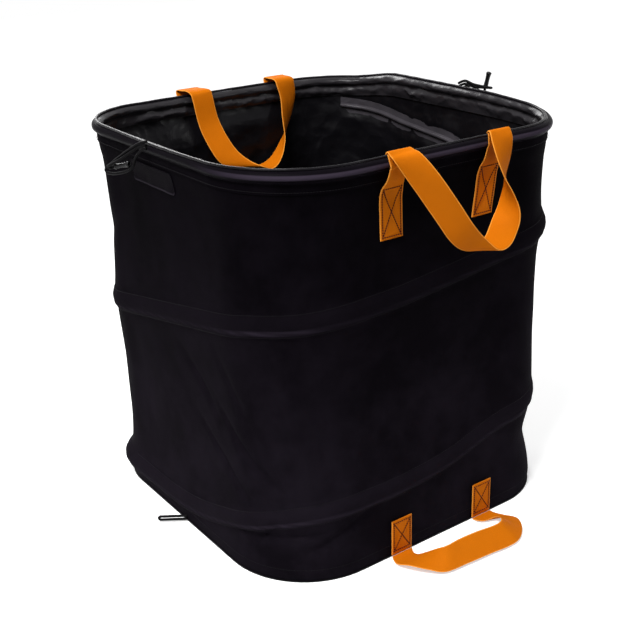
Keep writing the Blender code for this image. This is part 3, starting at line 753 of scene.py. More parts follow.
def bumped(tree, shader, layers):
    """Feed the normal from relief layers of (height, strength, distance), coarse first."""
    normal = None
    for height, strength, distance in layers:
        names = {"Height": height, "Strength": strength, "Distance": distance}
        if normal:
            names["Normal"] = normal
        normal = put(tree, "ShaderNodeBump", names).outputs[0]
    tree.links.new(normal, shader.inputs["Normal"])


def tint(colour, share):
    """A colour made lighter or darker by a share."""
    return (*[min(max(value * share, 0), 1) for value in colour[:3]], 1.0)


def cloth_material(name, colour, roughness, gloss, pitch, dust, relief=1.0, painted_floor_light=False, highlight_tint=0.0):
    """Woven polyester with lint, with a painted sheen over the spiral's band, painted highlights on the
    wire's ridge and along the rim's roll, and painted floor light low on the wall.
    """
    made, tree, shader = base_material(name, roughness, specular_ior_level=gloss)
    place = put(tree, "ShaderNodeTexCoord").outputs
    sizes = {"Vector": place["UV"], "Warp Pitch": pitch, "Weft Pitch": pitch * 1.15}
    weave = effect(tree, "Weave", weave_group, sizes)
    lint = effect(tree, "Lint", lint_group, {"Vector": place["Object"], "Amount": dust})
    woven = mixed(tree, weave["Tone"], tint(colour, 0.62), tint(colour, 1.05))
    dusty = mixed(tree, lint["Mask"], woven, tint(colour, 2.1))
    pucker = texture_noise(tree, place["Object"], 34.0, 4.0)
    near, wire = (vertex_value(tree, layer) for layer in (BAND_LAYER, WIRE_LAYER))
    edge = BAND_REACH - BAND_HALF
    band = remap(tree, near, edge - 0.0008, edge + 0.0008, 0, 0.45)
    ridge = remap(tree, wire, BAND_REACH - 0.0050, BAND_REACH - 0.0010, 0, 1)
    # Painted sheen: the cloth over the spiral's band is made lighter.
    band_sheen = mixed(tree, band, dusty, tint(colour, 2.0))
    # Painted highlight along the spiral wire's ridge.
    toned = mixed(tree, math(tree, "MULTIPLY", ridge, 0.7), band_sheen, tint(colour, 3.4))
    if painted_floor_light:
        # Painted light: lighter low on the wall, as the floor's bounce would light it, and darker up towards
        # the rim.
        level = put(tree, "ShaderNodeSeparateXYZ", {0: place["UV"]}).outputs["Y"]
        shade = remap(tree, level, 0.12, 0.53, 1.25, 0.48)
        toned = put(tree, "ShaderNodeVectorMath", {0: toned, 3: shade}, operation="SCALE").outputs[0]
    if highlight_tint:
        # Painted highlight where the layer marks it: the wire's ridge at the wall's near corner, and a stripe
        # along the front of the rim's roll.
        highlight_mask = vertex_value(tree, HIGHLIGHT_LAYER)
        highlight_mask = math(tree, "MULTIPLY", highlight_mask, ridge) if painted_floor_light else highlight_mask
        toned = mixed(tree, highlight_mask, toned, tint(colour, highlight_tint))
    tree.links.new(toned, shader.inputs["Base Color"])
    dull = remap(tree, lint["Mask"], 0, 1, roughness - 0.03, roughness + 0.07)
    tree.links.new(dull, shader.inputs["Roughness"])
    layers = (
        (ridge, 0.8, 0.0016),
        (pucker, 0.35 * relief, 0.0022),
        (weave["Relief"], 0.5 * relief, 0.0003),
    )
    bumped(tree, shader, layers)
    return made


def lining_material(name, colour, gloss):
    """Coated cloth, slick and crumpled."""
    made, tree, shader = base_material(name, 0.34, specular_ior_level=gloss)
    place = put(tree, "ShaderNodeTexCoord").outputs["Object"]
    folds, fine = (
        effect(tree, "Crumple", crumple_group, {"Vector": place, "Scale": scale})["Relief"]
        for scale in (17.0, 52.0)
    )
    toned = remap(tree, folds, 0.25, 0.85, 0, 1)
    tree.links.new(mixed(tree, toned, tint(colour, 0.75), tint(colour, 1.35)), shader.inputs["Base Color"])
    tree.links.new(remap(tree, fine, 0.2, 0.9, 0.30, 0.48), shader.inputs["Roughness"])
    bumped(tree, shader, ((folds, 0.9, 0.010), (fine, 0.6, 0.0028)))
    return made


def webbing_material(name, colour):
    """Ribbed polyester webbing with a brighter selvage, partly a painted highlight where its edges catch the
    light.
    """
    made, tree, shader = base_material(name, 0.66, specular_ior_level=0.03)
    place = put(tree, "ShaderNodeTexCoord").outputs
    ribs = effect(tree, "Webbing Ribs", rib_group, {"Vector": place["UV"]})
    cloud = texture_noise(tree, place["Object"], 42.0, 3.0)
    ribbed = mixed(tree, ribs["Tone"], tint(colour, 0.80), tint(colour, 1.08))
    toned = mixed(tree, remap(tree, cloud, 0.35, 0.7, 0, 0.30), ribbed, tint(colour, 0.84))
    turn_over = WEBBING_WIDTH + WEBBING_THICKNESS / 2
    across = put(tree, "ShaderNodeSeparateXYZ", {0: place["UV"]}).outputs["Y"]
    inward = math(tree, "PINGPONG", math(tree, "ADD", across, WEBBING_THICKNESS / 4), turn_over)
    edge = math(tree, "MINIMUM", inward, math(tree, "SUBTRACT", turn_over, inward))
    # Lighter edges: the selvage, partly a painted highlight.
    selvage_and_highlight = remap(tree, edge, 0.0012, 0.0020, 1, 0)
    edge_highlight_colour = (min(colour[0] * 1.35, 1.0), colour[1] * 2.0, colour[2] + 0.04, 1.0)
    tree.links.new(mixed(tree, selvage_and_highlight, toned, edge_highlight_colour), shader.inputs["Base Color"])
    tree.links.new(remap(tree, ribs["Relief"], 0, 1, 0.72, 0.56), shader.inputs["Roughness"])
    bumped(tree, shader, ((cloud, 0.25, 0.0016), (ribs["Relief"], 0.6, 0.0004)))
    return made


def thread_material(name, colour):
    """Twisted sewing thread."""
    made, tree, shader = base_material(name, 0.55, specular_ior_level=0.1)
    twist = texture_noise(tree, put(tree, "ShaderNodeTexCoord").outputs["Object"], 1500.0, 1.0)
    tree.links.new(mixed(tree, twist, tint(colour, 0.65), tint(colour, 1.3)), shader.inputs["Base Color"])
    bumped(tree, shader, ((twist, 0.4, 0.0002),))
    return made


def steel_material(name, colour):
    """Drawn spring wire."""
    made, tree, shader = base_material(name, 0.34, metallic=1.0)
    drawn = texture_noise(tree, put(tree, "ShaderNodeTexCoord").outputs["Object"], 260.0, 4.0)
    tree.links.new(mixed(tree, drawn, tint(colour, 0.7), tint(colour, 1.2)), shader.inputs["Base Color"])
    tree.links.new(remap(tree, drawn, 0.3, 0.7, 0.26, 0.46), shader.inputs["Roughness"])
    return made


def cord_material(name, colour):
    """Braided elastic cord."""
    made, tree, shader = base_material(name, 0.45, specular_ior_level=0.05)
    place = put(tree, "ShaderNodeTexCoord").outputs["Object"]
    braid = texture_noise(tree, place, 620.0, 1.0, distortion=0.6)
    tone = remap(tree, braid, 0.38, 0.62, 0, 1)
    tree.links.new(mixed(tree, tone, tint(colour, 0.6), tint(colour, 1.5)), shader.inputs["Base Color"])
    bumped(tree, shader, ((braid, 0.6, 0.0004),))
    return made


def plastic_material(name, colour):
    """Glossy moulded plastic with light handling marks."""
    made, tree, shader = base_material(name, 0.2, specular_ior_level=0.2)
    marks = texture_noise(tree, put(tree, "ShaderNodeTexCoord").outputs["Object"], 240.0, 3.0)
    tree.links.new(remap(tree, marks, 0.35, 0.7, 0.14, 0.34), shader.inputs["Roughness"])
    tree.links.new(mixed(tree, marks, tint(colour, 0.8), tint(colour, 1.3)), shader.inputs["Base Color"])
    bumped(tree, shader, ((marks, 0.08, 0.0003),))
    return made


# Finishes of the woven cloth: tone against the outer colour, and the tint of the painted highlight where its
# layer marks one
CLOTH_FINISHES = {
    "wall cloth": dict(tone=1.0, roughness=0.66, gloss=0.004, pitch=0.0009, dust=0.85, painted_floor_light=True, highlight_tint=5.5),
    # The skirt is the wall's cloth darkened: painted shade under the rim's roll.
    "wall skirt cloth": dict(tone=0.6, roughness=0.66, gloss=0.004, pitch=0.0009, dust=0.85),
    "hem cloth": dict(tone=1.0, roughness=0.32, gloss=0.006, pitch=0.0007, dust=0.25, relief=0.35, highlight_tint=9.5),
    "piping cloth": dict(tone=1.1, roughness=0.30, gloss=0.09, pitch=0.0007, dust=0.1, relief=0.5),
    "label cloth": dict(tone=0.9, roughness=0.50, gloss=0.004, pitch=0.0005, dust=0.1),
    "label edge": dict(tone=3.2, roughness=0.50, gloss=0.01, pitch=0.0005, dust=0.1),
}


def material(name):
    """A finish of the bag, made once."""
    found = bpy.data.materials.get(name)
    if found:
        return found
    scene = bpy.context.scene
    cloth, straps, fittings = scene.leaf_cloth, scene.leaf_straps, scene.leaf_fittings
    if name in CLOTH_FINISHES:
        finish = dict(CLOTH_FINISHES[name])
        return cloth_material(name, tint(cloth.outer_colour, finish.pop("tone")), **finish)
    makers = {
        "lining cloth": lambda: lining_material(name, cloth.lining_colour, gloss=0.08),
        # The strip takes the facing's colour with its painted sheen, 2.6 times lighter.
        "strip cloth": lambda: lining_material(name, tint(cloth.facing_sheen_colour, 2.6), gloss=0.10),
        # The facing is the lining's cloth made lighter: a painted sheen, as lit from above.
        "facing cloth": lambda: lining_material(name, cloth.facing_sheen_colour, gloss=0.16),
        "orange webbing": lambda: webbing_material(name, straps.colour),
        "strap thread": lambda: thread_material(name, straps.thread_colour),
        "black thread": lambda: thread_material(name, cloth.thread_colour),
        "spring steel": lambda: steel_material(name, fittings.steel_colour),
        "elastic cord": lambda: cord_material(name, fittings.cord_colour),
        "toggle plastic": lambda: plastic_material(name, fittings.toggle_colour),
    }
    return makers[name]()


# Stitches

THREAD_THICKNESS = 0.0007
STRAP_THREAD_THICKNESS = 0.0018
STITCH_SEED = 4


def stitch_tree():
    """Geometry nodes that lay stitches along a curve."""
    name = "Stitches"
    found = bpy.data.node_groups.get(name)
    if found:
        return found
    tree = bpy.data.node_groups.new(name, "GeometryNodeTree")
    inputs = (
        ("Geometry", "Geometry", None),
        ("Pitch", "Float", 0.0034),
        ("Length", "Float", 0.0026),
        ("Thickness", "Float", THREAD_THICKNESS),
        ("Seed", "Int", STITCH_SEED),
        ("Thread", "Material", None),
    )
    for label, kind, default in inputs:
        tree_socket(tree, label, "NodeSocket" + kind, "INPUT", default)
    tree_socket(tree, "Geometry", "NodeSocketGeometry", "OUTPUT")
    start, end = tree.nodes.new("NodeGroupInput"), tree.nodes.new("NodeGroupOutput")
    names = {"Curve": start.outputs["Geometry"], "Length": start.outputs["Pitch"]}
    spaced = put(tree, "GeometryNodeResampleCurve", names, mode="LENGTH")
    bead = put(tree, "GeometryNodeMeshUVSphere", {"Segments": 6, "Rings": 5, "Radius": 0.5})
    tangent = tree.nodes.new("GeometryNodeInputTangent")
    aligned = put(tree, "FunctionNodeAlignRotationToVector", {"Vector": tangent.outputs[0]}, axis="Z")
    names = {0: (-0.07, -0.07, 0.0), 1: (0.07, 0.07, 0.0), "Seed": start.outputs["Seed"]}
    wander = put(tree, "FunctionNodeRandomValue", names, data_type="FLOAT_VECTOR")
    names = {"Rotation": aligned.outputs[0], "Rotate By": wander.outputs[0]}
    askew = put(tree, "FunctionNodeRotateRotation", names, rotation_space="LOCAL")
    thick = start.outputs["Thickness"]
    size = put(tree, "ShaderNodeCombineXYZ", {0: thick, 1: thick, 2: start.outputs["Length"]})
    names = {"Points": spaced, "Instance": bead, "Rotation": askew, "Scale": size}
    names = {key: node.outputs[0] for key, node in names.items()}
    laid = put(tree, "GeometryNodeInstanceOnPoints", names)
    real = put(tree, "GeometryNodeRealizeInstances", {0: laid.outputs[0]})
    names = {"Geometry": real.outputs[0], "Material": start.outputs["Thread"]}
    named = put(tree, "GeometryNodeSetMaterial", names)
    tree.links.new(named.outputs[0], end.inputs[0])
    return tree


def poly_curve(name, lines):
    """A curve with one straight-edged spline through each line of points."""
    curve = bpy.data.curves.new(name, "CURVE")
    curve.dimensions = "3D"
    for line in lines:
        spline = curve.splines.new("POLY")
        spline.points.add(len(line) - 1)
        for held, point in zip(spline.points, line):
            held.co = (*point, 1)
    return curve


def seam(name, lines, thread, pitch, length, thickness):
    """A plain mesh of stitches along lines of points."""
    guide = link(name + "_line", poly_curve(name + "_line", lines))
    tree = stitch_tree()
    modifier = guide.modifiers.new("Stitches", "NODES")
    modifier.node_group = tree
    values = {"Pitch": pitch, "Length": length, "Thickness": thickness, "Seed": STITCH_SEED}
    values["Thread"] = material(thread)
    for item in tree.interface.items_tree:
        if item.in_out == "INPUT" and item.name in values:
            modifier[item.identifier] = values[item.name]
    bpy.context.view_layer.update()
    seen = guide.evaluated_get(bpy.context.evaluated_depsgraph_get())
    mesh = bpy.data.meshes.new_from_object(seen, preserve_all_data_layers=True)
    bpy.data.objects.remove(guide, do_unlink=True)
    mesh.name = name
    if not mesh.materials:
        mesh.materials.append(material(thread))
    mesh.shade_smooth()
    return link(name, mesh)


# Wall, rim and base


def wall_point(turn, height, rise=0.0):
    """A point on the wall's outer face, with a rise off it."""
    return off_wall(turn, slack(turn, height, bpy.context.scene.leaf_cloth) + rise, height)


def make_wall():
    """The fabric wall: its outer face with hollows, folds and band, its inner face the crinkled lining."""
    shape = bpy.context.scene.leaf_cloth
    foot = PANEL_THICKNESS + LAYER_GAP
    rows = round((WALL_TOP - foot) / shape.cloth_step)
    heights = [foot + (WALL_TOP - foot) * row / rows for row in range(rows + 1)]
    size = len(heights)
    turns = even_turns(shape.cloth_step)
    loops = []
    for turn in turns:
        radial = plan(turn)[1]
        outer, inner = [], []
        for height in heights:
            face = wall_point(turn, height)
            calm = ease((0.560 - height) / 0.03) * ease((height - 0.02) / 0.03)
            gather = 0.35 + 0.65 * ease((height - 0.28) / 0.2)
            crush = crinkle(face, 21) * shape.lining_crinkle * calm * gather
            outer.append(face)
            inner.append(face - radial * (shape.cloth_thickness + crush))
        loops.append(outer + inner[::-1])
    finishes = [material("wall cloth"), material("lining cloth")]
    wall = sweep("wall", loops, True, finishes, lambda index: int(index >= size - 1))
    for name, drop in ((BAND_LAYER, BAND_DROP), (WIRE_LAYER, WIRE_DROP)):
        columns = [[near_spiral(turn, height, drop) for height in heights] for turn in turns]
        add_layer(wall, name, [value for column in columns for value in (*column, *reversed(column))])
    # Painted highlight at the wall's near corner, where the wire's ridge catches the light.
    corner_highlight = [exp(-(((turn % 1 - 0.635) / 0.035) ** 2)) for turn in turns]
    add_layer(wall, HIGHLIGHT_LAYER, [share for share in corner_highlight for _ in range(2 * size)])
    dress(wall, "base", ["side_wall"])
    crumple(wall)


def skirt_points(neck, wobble):
    """Points of the rim hem's outer skirt, from its foot up to the roll's neck."""
    steps, thick = 8, 0.0007
    points = []
    for step in range(steps):
        share = step / steps
        puff = (0.0004 + max(wobble, 0)) * sin(pi * share)
        points.append((LAYER_GAP + thick + puff, SKIRT_FOOT + (neck - SKIRT_FOOT) * share))
    return points


def roll_points(point, wobble):
    """Points of the rim hem's roll, from outside over the top to inside, puffed where the facing gathers."""
    start, whole, steps = radians(-68), radians(300), 30
    points = []
    for step in range(steps + 1):
        angle = start + whole * step / steps
        puff = 0.0026 * crinkle(point + UP * angle * 0.02, 30) * ease((angle - radians(95)) / radians(60))
        out = RIM_ROLL_OUT + (HEM_OUT + wobble * 0.5 + puff) * cos(angle)
        points.append((out, HEM_MIDDLE + (HEM_UP + wobble * 0.3) * sin(angle)))
    return points


def facing_points(turn, neck, crush_depth):
    """Points of the rim hem's crumpled inner skirt, from the neck down to its foot."""
    pull = noise.noise(plan(turn)[0] * 15) * 0.0008
    steps = 10
    points = []
    for step in range(1, steps + 1):
        share = step / steps
        height = neck - 0.001 + (SKIRT_FOOT - neck) * share
        crush = crinkle(off_wall(turn, 0, height), 32) ** 2 * crush_depth * sin(pi * min(share * 1.05, 1))
        points.append((SKIRT_INNER_OUT - 0.0012 - crush + pull * share * 0.5 - 0.0004, height))
    return points


def rim_section(turn, shape):
    """Points of the rim hem's section out from the wall, and where its skirt ends and its facing starts."""
    point = plan(turn)[0]
    wobble = noise.noise(point * 38 + UP * 2) * 0.0008
    neck = HEM_MIDDLE - HEM_UP * 0.93
    outer_skirt = skirt_points(neck, wobble)
    roll = roll_points(point, wobble)
    inner_skirt = facing_points(turn, neck, shape.facing_crinkle)
    first = tau - acos((SKIRT_INNER_OUT - RIM_ROLL_OUT) / HEM_BORE)
    last = -acos((LAYER_GAP - RIM_ROLL_OUT) / HEM_BORE)
    channel = arc(RIM_ROLL_OUT, RIM_ROLL_HEIGHT, HEM_BORE, first, last, 10)
    outer_foot, inner_foot = (LAYER_GAP, SKIRT_FOOT), (SKIRT_INNER_OUT, SKIRT_FOOT)
    section = [outer_foot, *outer_skirt, *roll, *inner_skirt, inner_foot, *channel]
    return section, len(outer_skirt), len(outer_skirt) + FACING_ROW


def hem_highlight(turn, section):
    """How much painted highlight the front of the hem's roll takes at each point of its section, from 0 to 1:
    a stripe round the middle of its outer face.
    """
    front = ease((turn - 0.30) / 0.06) * ease((0.70 - turn) / 0.08)
    shares = []
    for out, height in section:
        angle = atan2((height - HEM_MIDDLE) / HEM_UP, (out - RIM_ROLL_OUT) / HEM_OUT)
        level = ease((angle + radians(28)) / radians(14)) * ease((radians(32) - angle) / radians(14))
        shares.append(front * level if out > 0.002 else 0.0)
    return shares


def make_rim_hem():
    """The rim's rolled hem with its skirt outside and its facing inside."""
    shape = bpy.context.scene.leaf_cloth
    loops, shares, skirt, facing = [], [], 0, 0
    for turn in even_turns(RIM_STEP):
        section, skirt, facing = rim_section(turn, shape)
        loops.append([off_wall(turn, out, height) for out, height in section])
        shares += hem_highlight(turn, section)
    finishes = [material("hem cloth"), material("facing cloth"), material("wall skirt cloth")]
    hem = sweep("rim_roll", loops, True, finishes, lambda index: 2 if index < skirt else int(index >= facing))
    # Painted highlight along the front of the roll.
    add_layer(hem, HIGHLIGHT_LAYER, shares)
    dress(hem, "rim", ["rim_hem"])


def make_piping():
    """The bead sewn along the rim's roll, turned outwards at the left side and the rear."""
    grip, bead = 0.0015, 0.0021
    loops = []
    for turn in even_turns(PIPING_STEP):
        twist = ease(1 - abs(turn - 0.745) / 0.2)
        rear = ease(1 - abs((turn + 0.4) % 1 - 0.5) / 0.24)
        angle = radians(112 - 54 * twist - 40 * rear)
        shift = noise.noise(plan(turn)[0] * 60) * 0.0004
        out = RIM_ROLL_OUT + (HEM_OUT + grip + shift) * cos(angle)
        height = HEM_MIDDLE + (HEM_UP + grip + shift) * sin(angle)
        loops.append([off_wall(turn, *place) for place in arc(out, height, bead, 0, tau - tau / 12, 11)])
    piping = sweep("rim_edge", loops, True, [material("piping cloth")])
    dress(piping, "rim", ["rim_piping"])


def make_base_hem():
    """The hem rolled inwards over the base hoop."""
    start, end = pi + radians(6), 3 * pi - radians(6)
    loops = []
    for turn in even_turns(BASE_HEM_STEP):
        wobble = noise.noise(plan(turn)[0] * 45) * 0.0005
        radius = BASE_ROLL_RADIUS - LAYER_GAP + wobble * 0.5
        outer = arc(BASE_ROLL_OUT, BASE_ROLL_HEIGHT, radius, start, end, 20)
        bore = arc(BASE_ROLL_OUT, BASE_ROLL_HEIGHT, BASE_BORE, end, start, 12)
        loops.append([off_wall(turn, *place) for place in outer + bore])
    hem = sweep("base_roll", loops, True, [material("lining cloth")])
    dress(hem, "base", ["base_hem"])


def make_base_panel():
    """The bag's floor, a little rumpled inside."""
    turns = even_turns(PANEL_STEP)
    shares = [0.06 * step for step in range(1, 16)] + [0.93, 0.96, 0.985, 1.0]
    loops = []
    for share in shares:
        ring = []
        for turn in turns:
            point = plan(turn)[0] * share
            rumple = 0.45 + 0.55 * crinkle(point, 15) if share < 0.95 else 1
            ring.append(point + UP * PANEL_THICKNESS * rumple)
        loops.append(ring)
    for share in reversed(shares):
        loops.append([plan(turn)[0] * share for turn in turns])
    panel = sweep("floor_panel", loops, False, [material("lining cloth"), material("wall cloth")])
    dress(panel, "base", ["base_panel"])


def make_spiral_strip():
    """The strip inside the wall, humped over the spiral wire."""
    shape = bpy.context.scene.leaf_cloth
    rises = (0.0042, 0.007, 0.0105, 0.014)
    thick, hump_radius, bore, sewn_out = 0.0009, 0.0034, 0.0023, -0.0028
    loops = []
    for turn in spiral_turns(STRIP_STEP):
        middle = spiral_height(turn)
        lower, upper = [], []
        for rows, sign in ((lower, -1), (upper, 1)):
            for rise in rises:
                face = slack(turn, middle + sign * rise, shape) - shape.cloth_thickness
                rows.append((sign * rise, min(face, -0.0018) - 0.0004))
        lower.reverse()
        hump = arc(0, 0, hump_radius, 3 * pi / 2 - 0.2, pi / 2 + 0.2, 8)
        channel = arc(0, 0, bore, pi / 2, 3 * pi / 2, 6)
        puff = noise.noise(plan(turn)[0] * 30 + UP * middle * 30) * 0.0004
        section = [(rise, out - thick + puff) for rise, out in lower]
        section += [(rise, SPIRAL_WIRE_OUT + out + puff * 0.5) for out, rise in hump]
        section += [(rise, out - thick + puff) for rise, out in upper]
        section += [*reversed(upper), (bore, sewn_out)]
        section += [(rise, SPIRAL_WIRE_OUT + out) for out, rise in channel]
        section += [(-bore, sewn_out), *reversed(lower)]
        loops.append([off_wall(turn, out, middle + rise) for rise, out in section])
    strip = sweep("spiral_strip", loops, False, [material("strip cloth")])
    dress(strip, "base", ["spiral_sleeve"])
    crumple(strip)


def make_label():
    """The blank label below the rim."""
    shape = bpy.context.scene.leaf_cloth
    width, height, top, shift = 0.118, 0.031, 0.565, 0.019
    corner, border_width, border_rise, thick = 0.004, 0.0026, 0.0003, 0.0008
    columns, rows = 40, 12
    loops = []
    for column in range(columns + 1):
        turn = face_turn(0.75, shift + (column / columns - 0.5) * width)
        inset = max(0.0, corner - min(column, columns - column) / columns * width)
        cut = corner - sqrt(max(corner**2 - inset**2, 0))
        front, back = [], []
        for row in range(rows + 1):
            level = top - height + cut + (height - 2 * cut) * row / rows
            edge = min(row, rows - row) / rows * height
            border = border_rise if edge < border_width else 0.0
            lift = 0.0006 * sin(column * 0.35) * (1 - row / rows)
            out = slack(turn, level, shape) + 0.0004 + max(lift, 0)
            back.append(off_wall(turn, out, level))
            front.append(off_wall(turn, out + thick + border, level))
        loops.append(front + back[::-1])
    edges = (0, 2 * rows + 1)
    finishes = [material("label cloth"), material("label edge")]
    piece = sweep("blank_label", loops, False, finishes, lambda index: int(index in edges))
    dress(piece, "base", ["label"])
    crumple(piece)


# Webbing

# Start and end of the sewn boxes, from the foot of a tab
CARRY_BOX = (0.0035, 0.071)
TIP_BOX = (0.006, 0.053)


def strap_section(centre, half, normal):
    """Points round a strap's section, its edges rounded."""
    shares = (-1.0, -0.985, -0.95, -0.8, -0.5, -0.2, 0.2, 0.5, 0.8, 0.95, 0.985, 1.0)
    front, back = [], []
    for share in shares:
        thin = WEBBING_THICKNESS / 2 * (1 - abs(share) ** 30 * 0.75)
        front.append(centre + half * share + normal * thin)
        back.append(centre + half * share - normal * thin)
    return front + back[::-1]


def strap_rows(rows):
    """Rows of (centre, half width) with the normal through the strap at each."""
    found = []
    for index, (centre, half) in enumerate(rows):
        before, after = rows[max(index - 1, 0)][0], rows[min(index + 1, len(rows) - 1)][0]
        found.append((centre, half, (after - before).cross(half).normalized()))
    return found


def strap(name, rows):
    """A strap of webbing through rows of (centre, half width, normal)."""
    loops = [strap_section(*row) for row in rows]
    return sweep(name, loops, False, [material("orange webbing")])


def tab_rows(face, x, fold_x, fold_height, twist, bow):
    """Rows of a carry handle's tab: up the wall, over the hem to the fold, twisted at its neck."""
    shape = bpy.context.scene.leaf_cloth
    outward, forward = face_axes(face)
    turn = face_turn(face, x * forward.x)
    thick = WEBBING_THICKNESS / 2
    profile = []
    height = CARRY_TAB_FOOT
    while height < SKIRT_FOOT - TAB_STEP:
        profile.append((slack(turn, height, shape) + LAYER_GAP + thick + 0.0005, height))
        height += TAB_STEP
    skirt = 0.0024 + LAYER_GAP + thick
    for out, rise in ((0, 0.001), (0.0003, 0.008), (0.0004, 0.014)):
        profile.append((skirt + out, SKIRT_FOOT + rise))
    grip = RIM_ROLL_RADIUS + LAYER_GAP + thick + 0.0004
    profile += arc(RIM_ROLL_OUT, RIM_ROLL_HEIGHT, grip, -pi / 3.4, -pi / 24, 6)
    for out, drop in ((0.0112, 0.0085), (0.0130, 0.0035), (FOLD_OUT - 0.0002, 0.0006)):
        profile.append((out, fold_height - drop))
    rows = []
    for out, height in smooth(profile, 2):
        lean = (height - CARRY_TAB_FOOT) / (fold_height - CARRY_TAB_FOOT)
        neck = ease(1 - abs(height - TAB_NECK) / TAB_NECK_REACH)
        wave = noise.noise(Vector((x * 9, height * 22, 0))) * 0.0012 * ease((fold_height - height) / 0.05)
        wave += bow * sin(pi * lean)
        yaw = twist * neck
        half = (Vector((cos(yaw), 0, 0)) - outward * sin(yaw)) * WEBBING_WIDTH / 2
        shift = outward * abs(half.y) + Vector((WEBBING_WIDTH / 2 - half.x, 0, 0)) * (1 if yaw > 0 else -1)
        centre = outward * (WALL_HALF + out) + Vector((x + (fold_x - x) * lean + wave, 0, height)) + shift
        rows.append((centre, half))
    return strap_rows(rows)


def along_strap(rows, distance, across, rise):
    """A point on a strap's outer face, by distance from its start and share of its half width."""
    travelled = 0.0
    outward = 1 if (rows[0][2].dot(Vector((rows[0][0].x, rows[0][0].y, 0)))) > 0 else -1
    for one, other in zip(rows, rows[1:]):
        step = (other[0] - one[0]).length
        if travelled + step >= distance:
            share = (distance - travelled) / step
            centre, half, normal = (a.lerp(b, share) for a, b in zip(one, other))
            return centre + half * across + normal * outward * (WEBBING_THICKNESS / 2 + rise)
        travelled += step
    return rows[-1][0] + rows[-1][1] * across + rows[-1][2] * outward * (WEBBING_THICKNESS / 2 + rise)


def box_stitch(rows, start, end):
    """Lines of a box with a cross in it, on a strap from one distance to another."""
    edge, rise, steps = 0.80, 0.0002, 12
    corners = [(start, -edge), (start, edge), (end, edge), (end, -edge), (start, -edge)]
    pairs = [*zip(corners, corners[1:]), (corners[0], corners[2]), (corners[1], corners[3])]
    lines = []
    for (d0, a0), (d1, a1) in pairs:
        shares = [step / steps for step in range(steps + 1)]
        lines.append([along_strap(rows, d0 + (d1 - d0) * s, a0 + (a1 - a0) * s, rise) for s in shares])
    return lines


def loop_rows(left, route, steps):
    """Rows of a handle's loop from its route."""
    rows = []
    for across, out, down, turn, lean in smooth(route, steps):
        angle, lift = radians(turn), radians(lean)
        width = Vector((cos(angle) * cos(lift), -sin(angle) * cos(lift), sin(lift)))
        centre = left + Vector((across, -out, -down)) / 1000
        rows.append((centre, width * WEBBING_WIDTH / 2))
    return strap_rows(rows)


def strap_seam(name, lines):
    """Stitches of the webbing's heavy thread."""
    pitch = bpy.context.scene.leaf_straps.stitch_pitch
    return seam(name, lines, "strap thread", pitch, pitch * 0.9, STRAP_THREAD_THICKNESS)


def make_carry_handles():
    """The front and rear handles: two sewn tabs, their stitches and the loop of each."""
    for side, facts in HANDLES.items():
        outward = face_axes(facts["turn"])[0]
        seams = []
        for name, sign in (("left", -1), ("right", 1)):
            x, fold_x = (facts["centre"] + sign * span / 2 for span in (HANDLE_SPAN, FOLD_SPAN))
            twist, bow = facts["tabs"][name]
            rows = tab_rows(facts["turn"], x, fold_x, facts["fold"], radians(twist), bow)
            tab = strap(f"{side}_{name}_strap_end", rows)
            dress(tab, "rim", [f"{side}_{name}_tab"])
            crumple(tab)
            seams += box_stitch(rows, *CARRY_BOX)
        threads = strap_seam(f"{side}_tab_stitches", seams)
        dress(threads, "rim")
        crumple(threads)
        left = outward * (WALL_HALF + FOLD_OUT) + Vector((facts["centre"] - FOLD_SPAN / 2, 0, facts["fold"]))
        loop = strap(f"{side}_handle", loop_rows(left, facts["route"], LOOP_STEPS))
        dress(loop, f"{side}_handle", [f"{side}_handle_loop"])
        crumple(loop)


def make_tip_handle():
    """The tipping handle at the foot of the front, its tabs, stitches and loop."""
    shape = bpy.context.scene.leaf_cloth
    thick = WEBBING_THICKNESS / 2
    seams = []
    for name, sign in (("left", -1), ("right", 1)):
        x = TIP_CENTRE + sign * HANDLE_SPAN / 2
        rows, height = [], TIP_FOLD_HEIGHT + 0.0016
        while height < TIP_TAB_TOP + 0.0001:
            out = slack(face_turn(0.5, -x), height, shape) + LAYER_GAP + thick + 0.0002
            centre = Vector((x, -WALL_HALF - max(out, 0.0012), height))
            rows.append((centre, Vector((WEBBING_WIDTH / 2, 0, 0))))
            height += TIP_TAB_STEP
        rows = strap_rows(rows)
        tab = strap(f"tip_{name}_strap_end", rows)
        dress(tab, "base", [f"tip_{name}_tab"])
        crumple(tab)
        seams += box_stitch(rows, *TIP_BOX)
    threads = strap_seam("tip_tab_stitches", seams)
    dress(threads, "base")
    crumple(threads)
    left = Vector((TIP_CENTRE - HANDLE_SPAN / 2, -WALL_HALF - TIP_FOLD_OUT, TIP_FOLD_HEIGHT))
    loop = strap("tip_handle", loop_rows(left, TIP_ROUTE, LOOP_STEPS))
    dress(loop, "tip_handle", ["tip_handle_loop"])


# Cords and toggles

CORD_RADIUS = 0.0021
TOGGLE_LENGTH = 0.026
TOGGLE_RADIUS = 0.0043
TOGGLE_REACH = 0.082
TOGGLE_TURN = radians(25)
TOGGLE_ASIDE = 0.006
LIFT_REACH = 0.35
ROOT_ANGLES = (radians(40), radians(10), radians(-20))
THREADED_SHARES = (-0.66, -0.5, 0, 0.34)

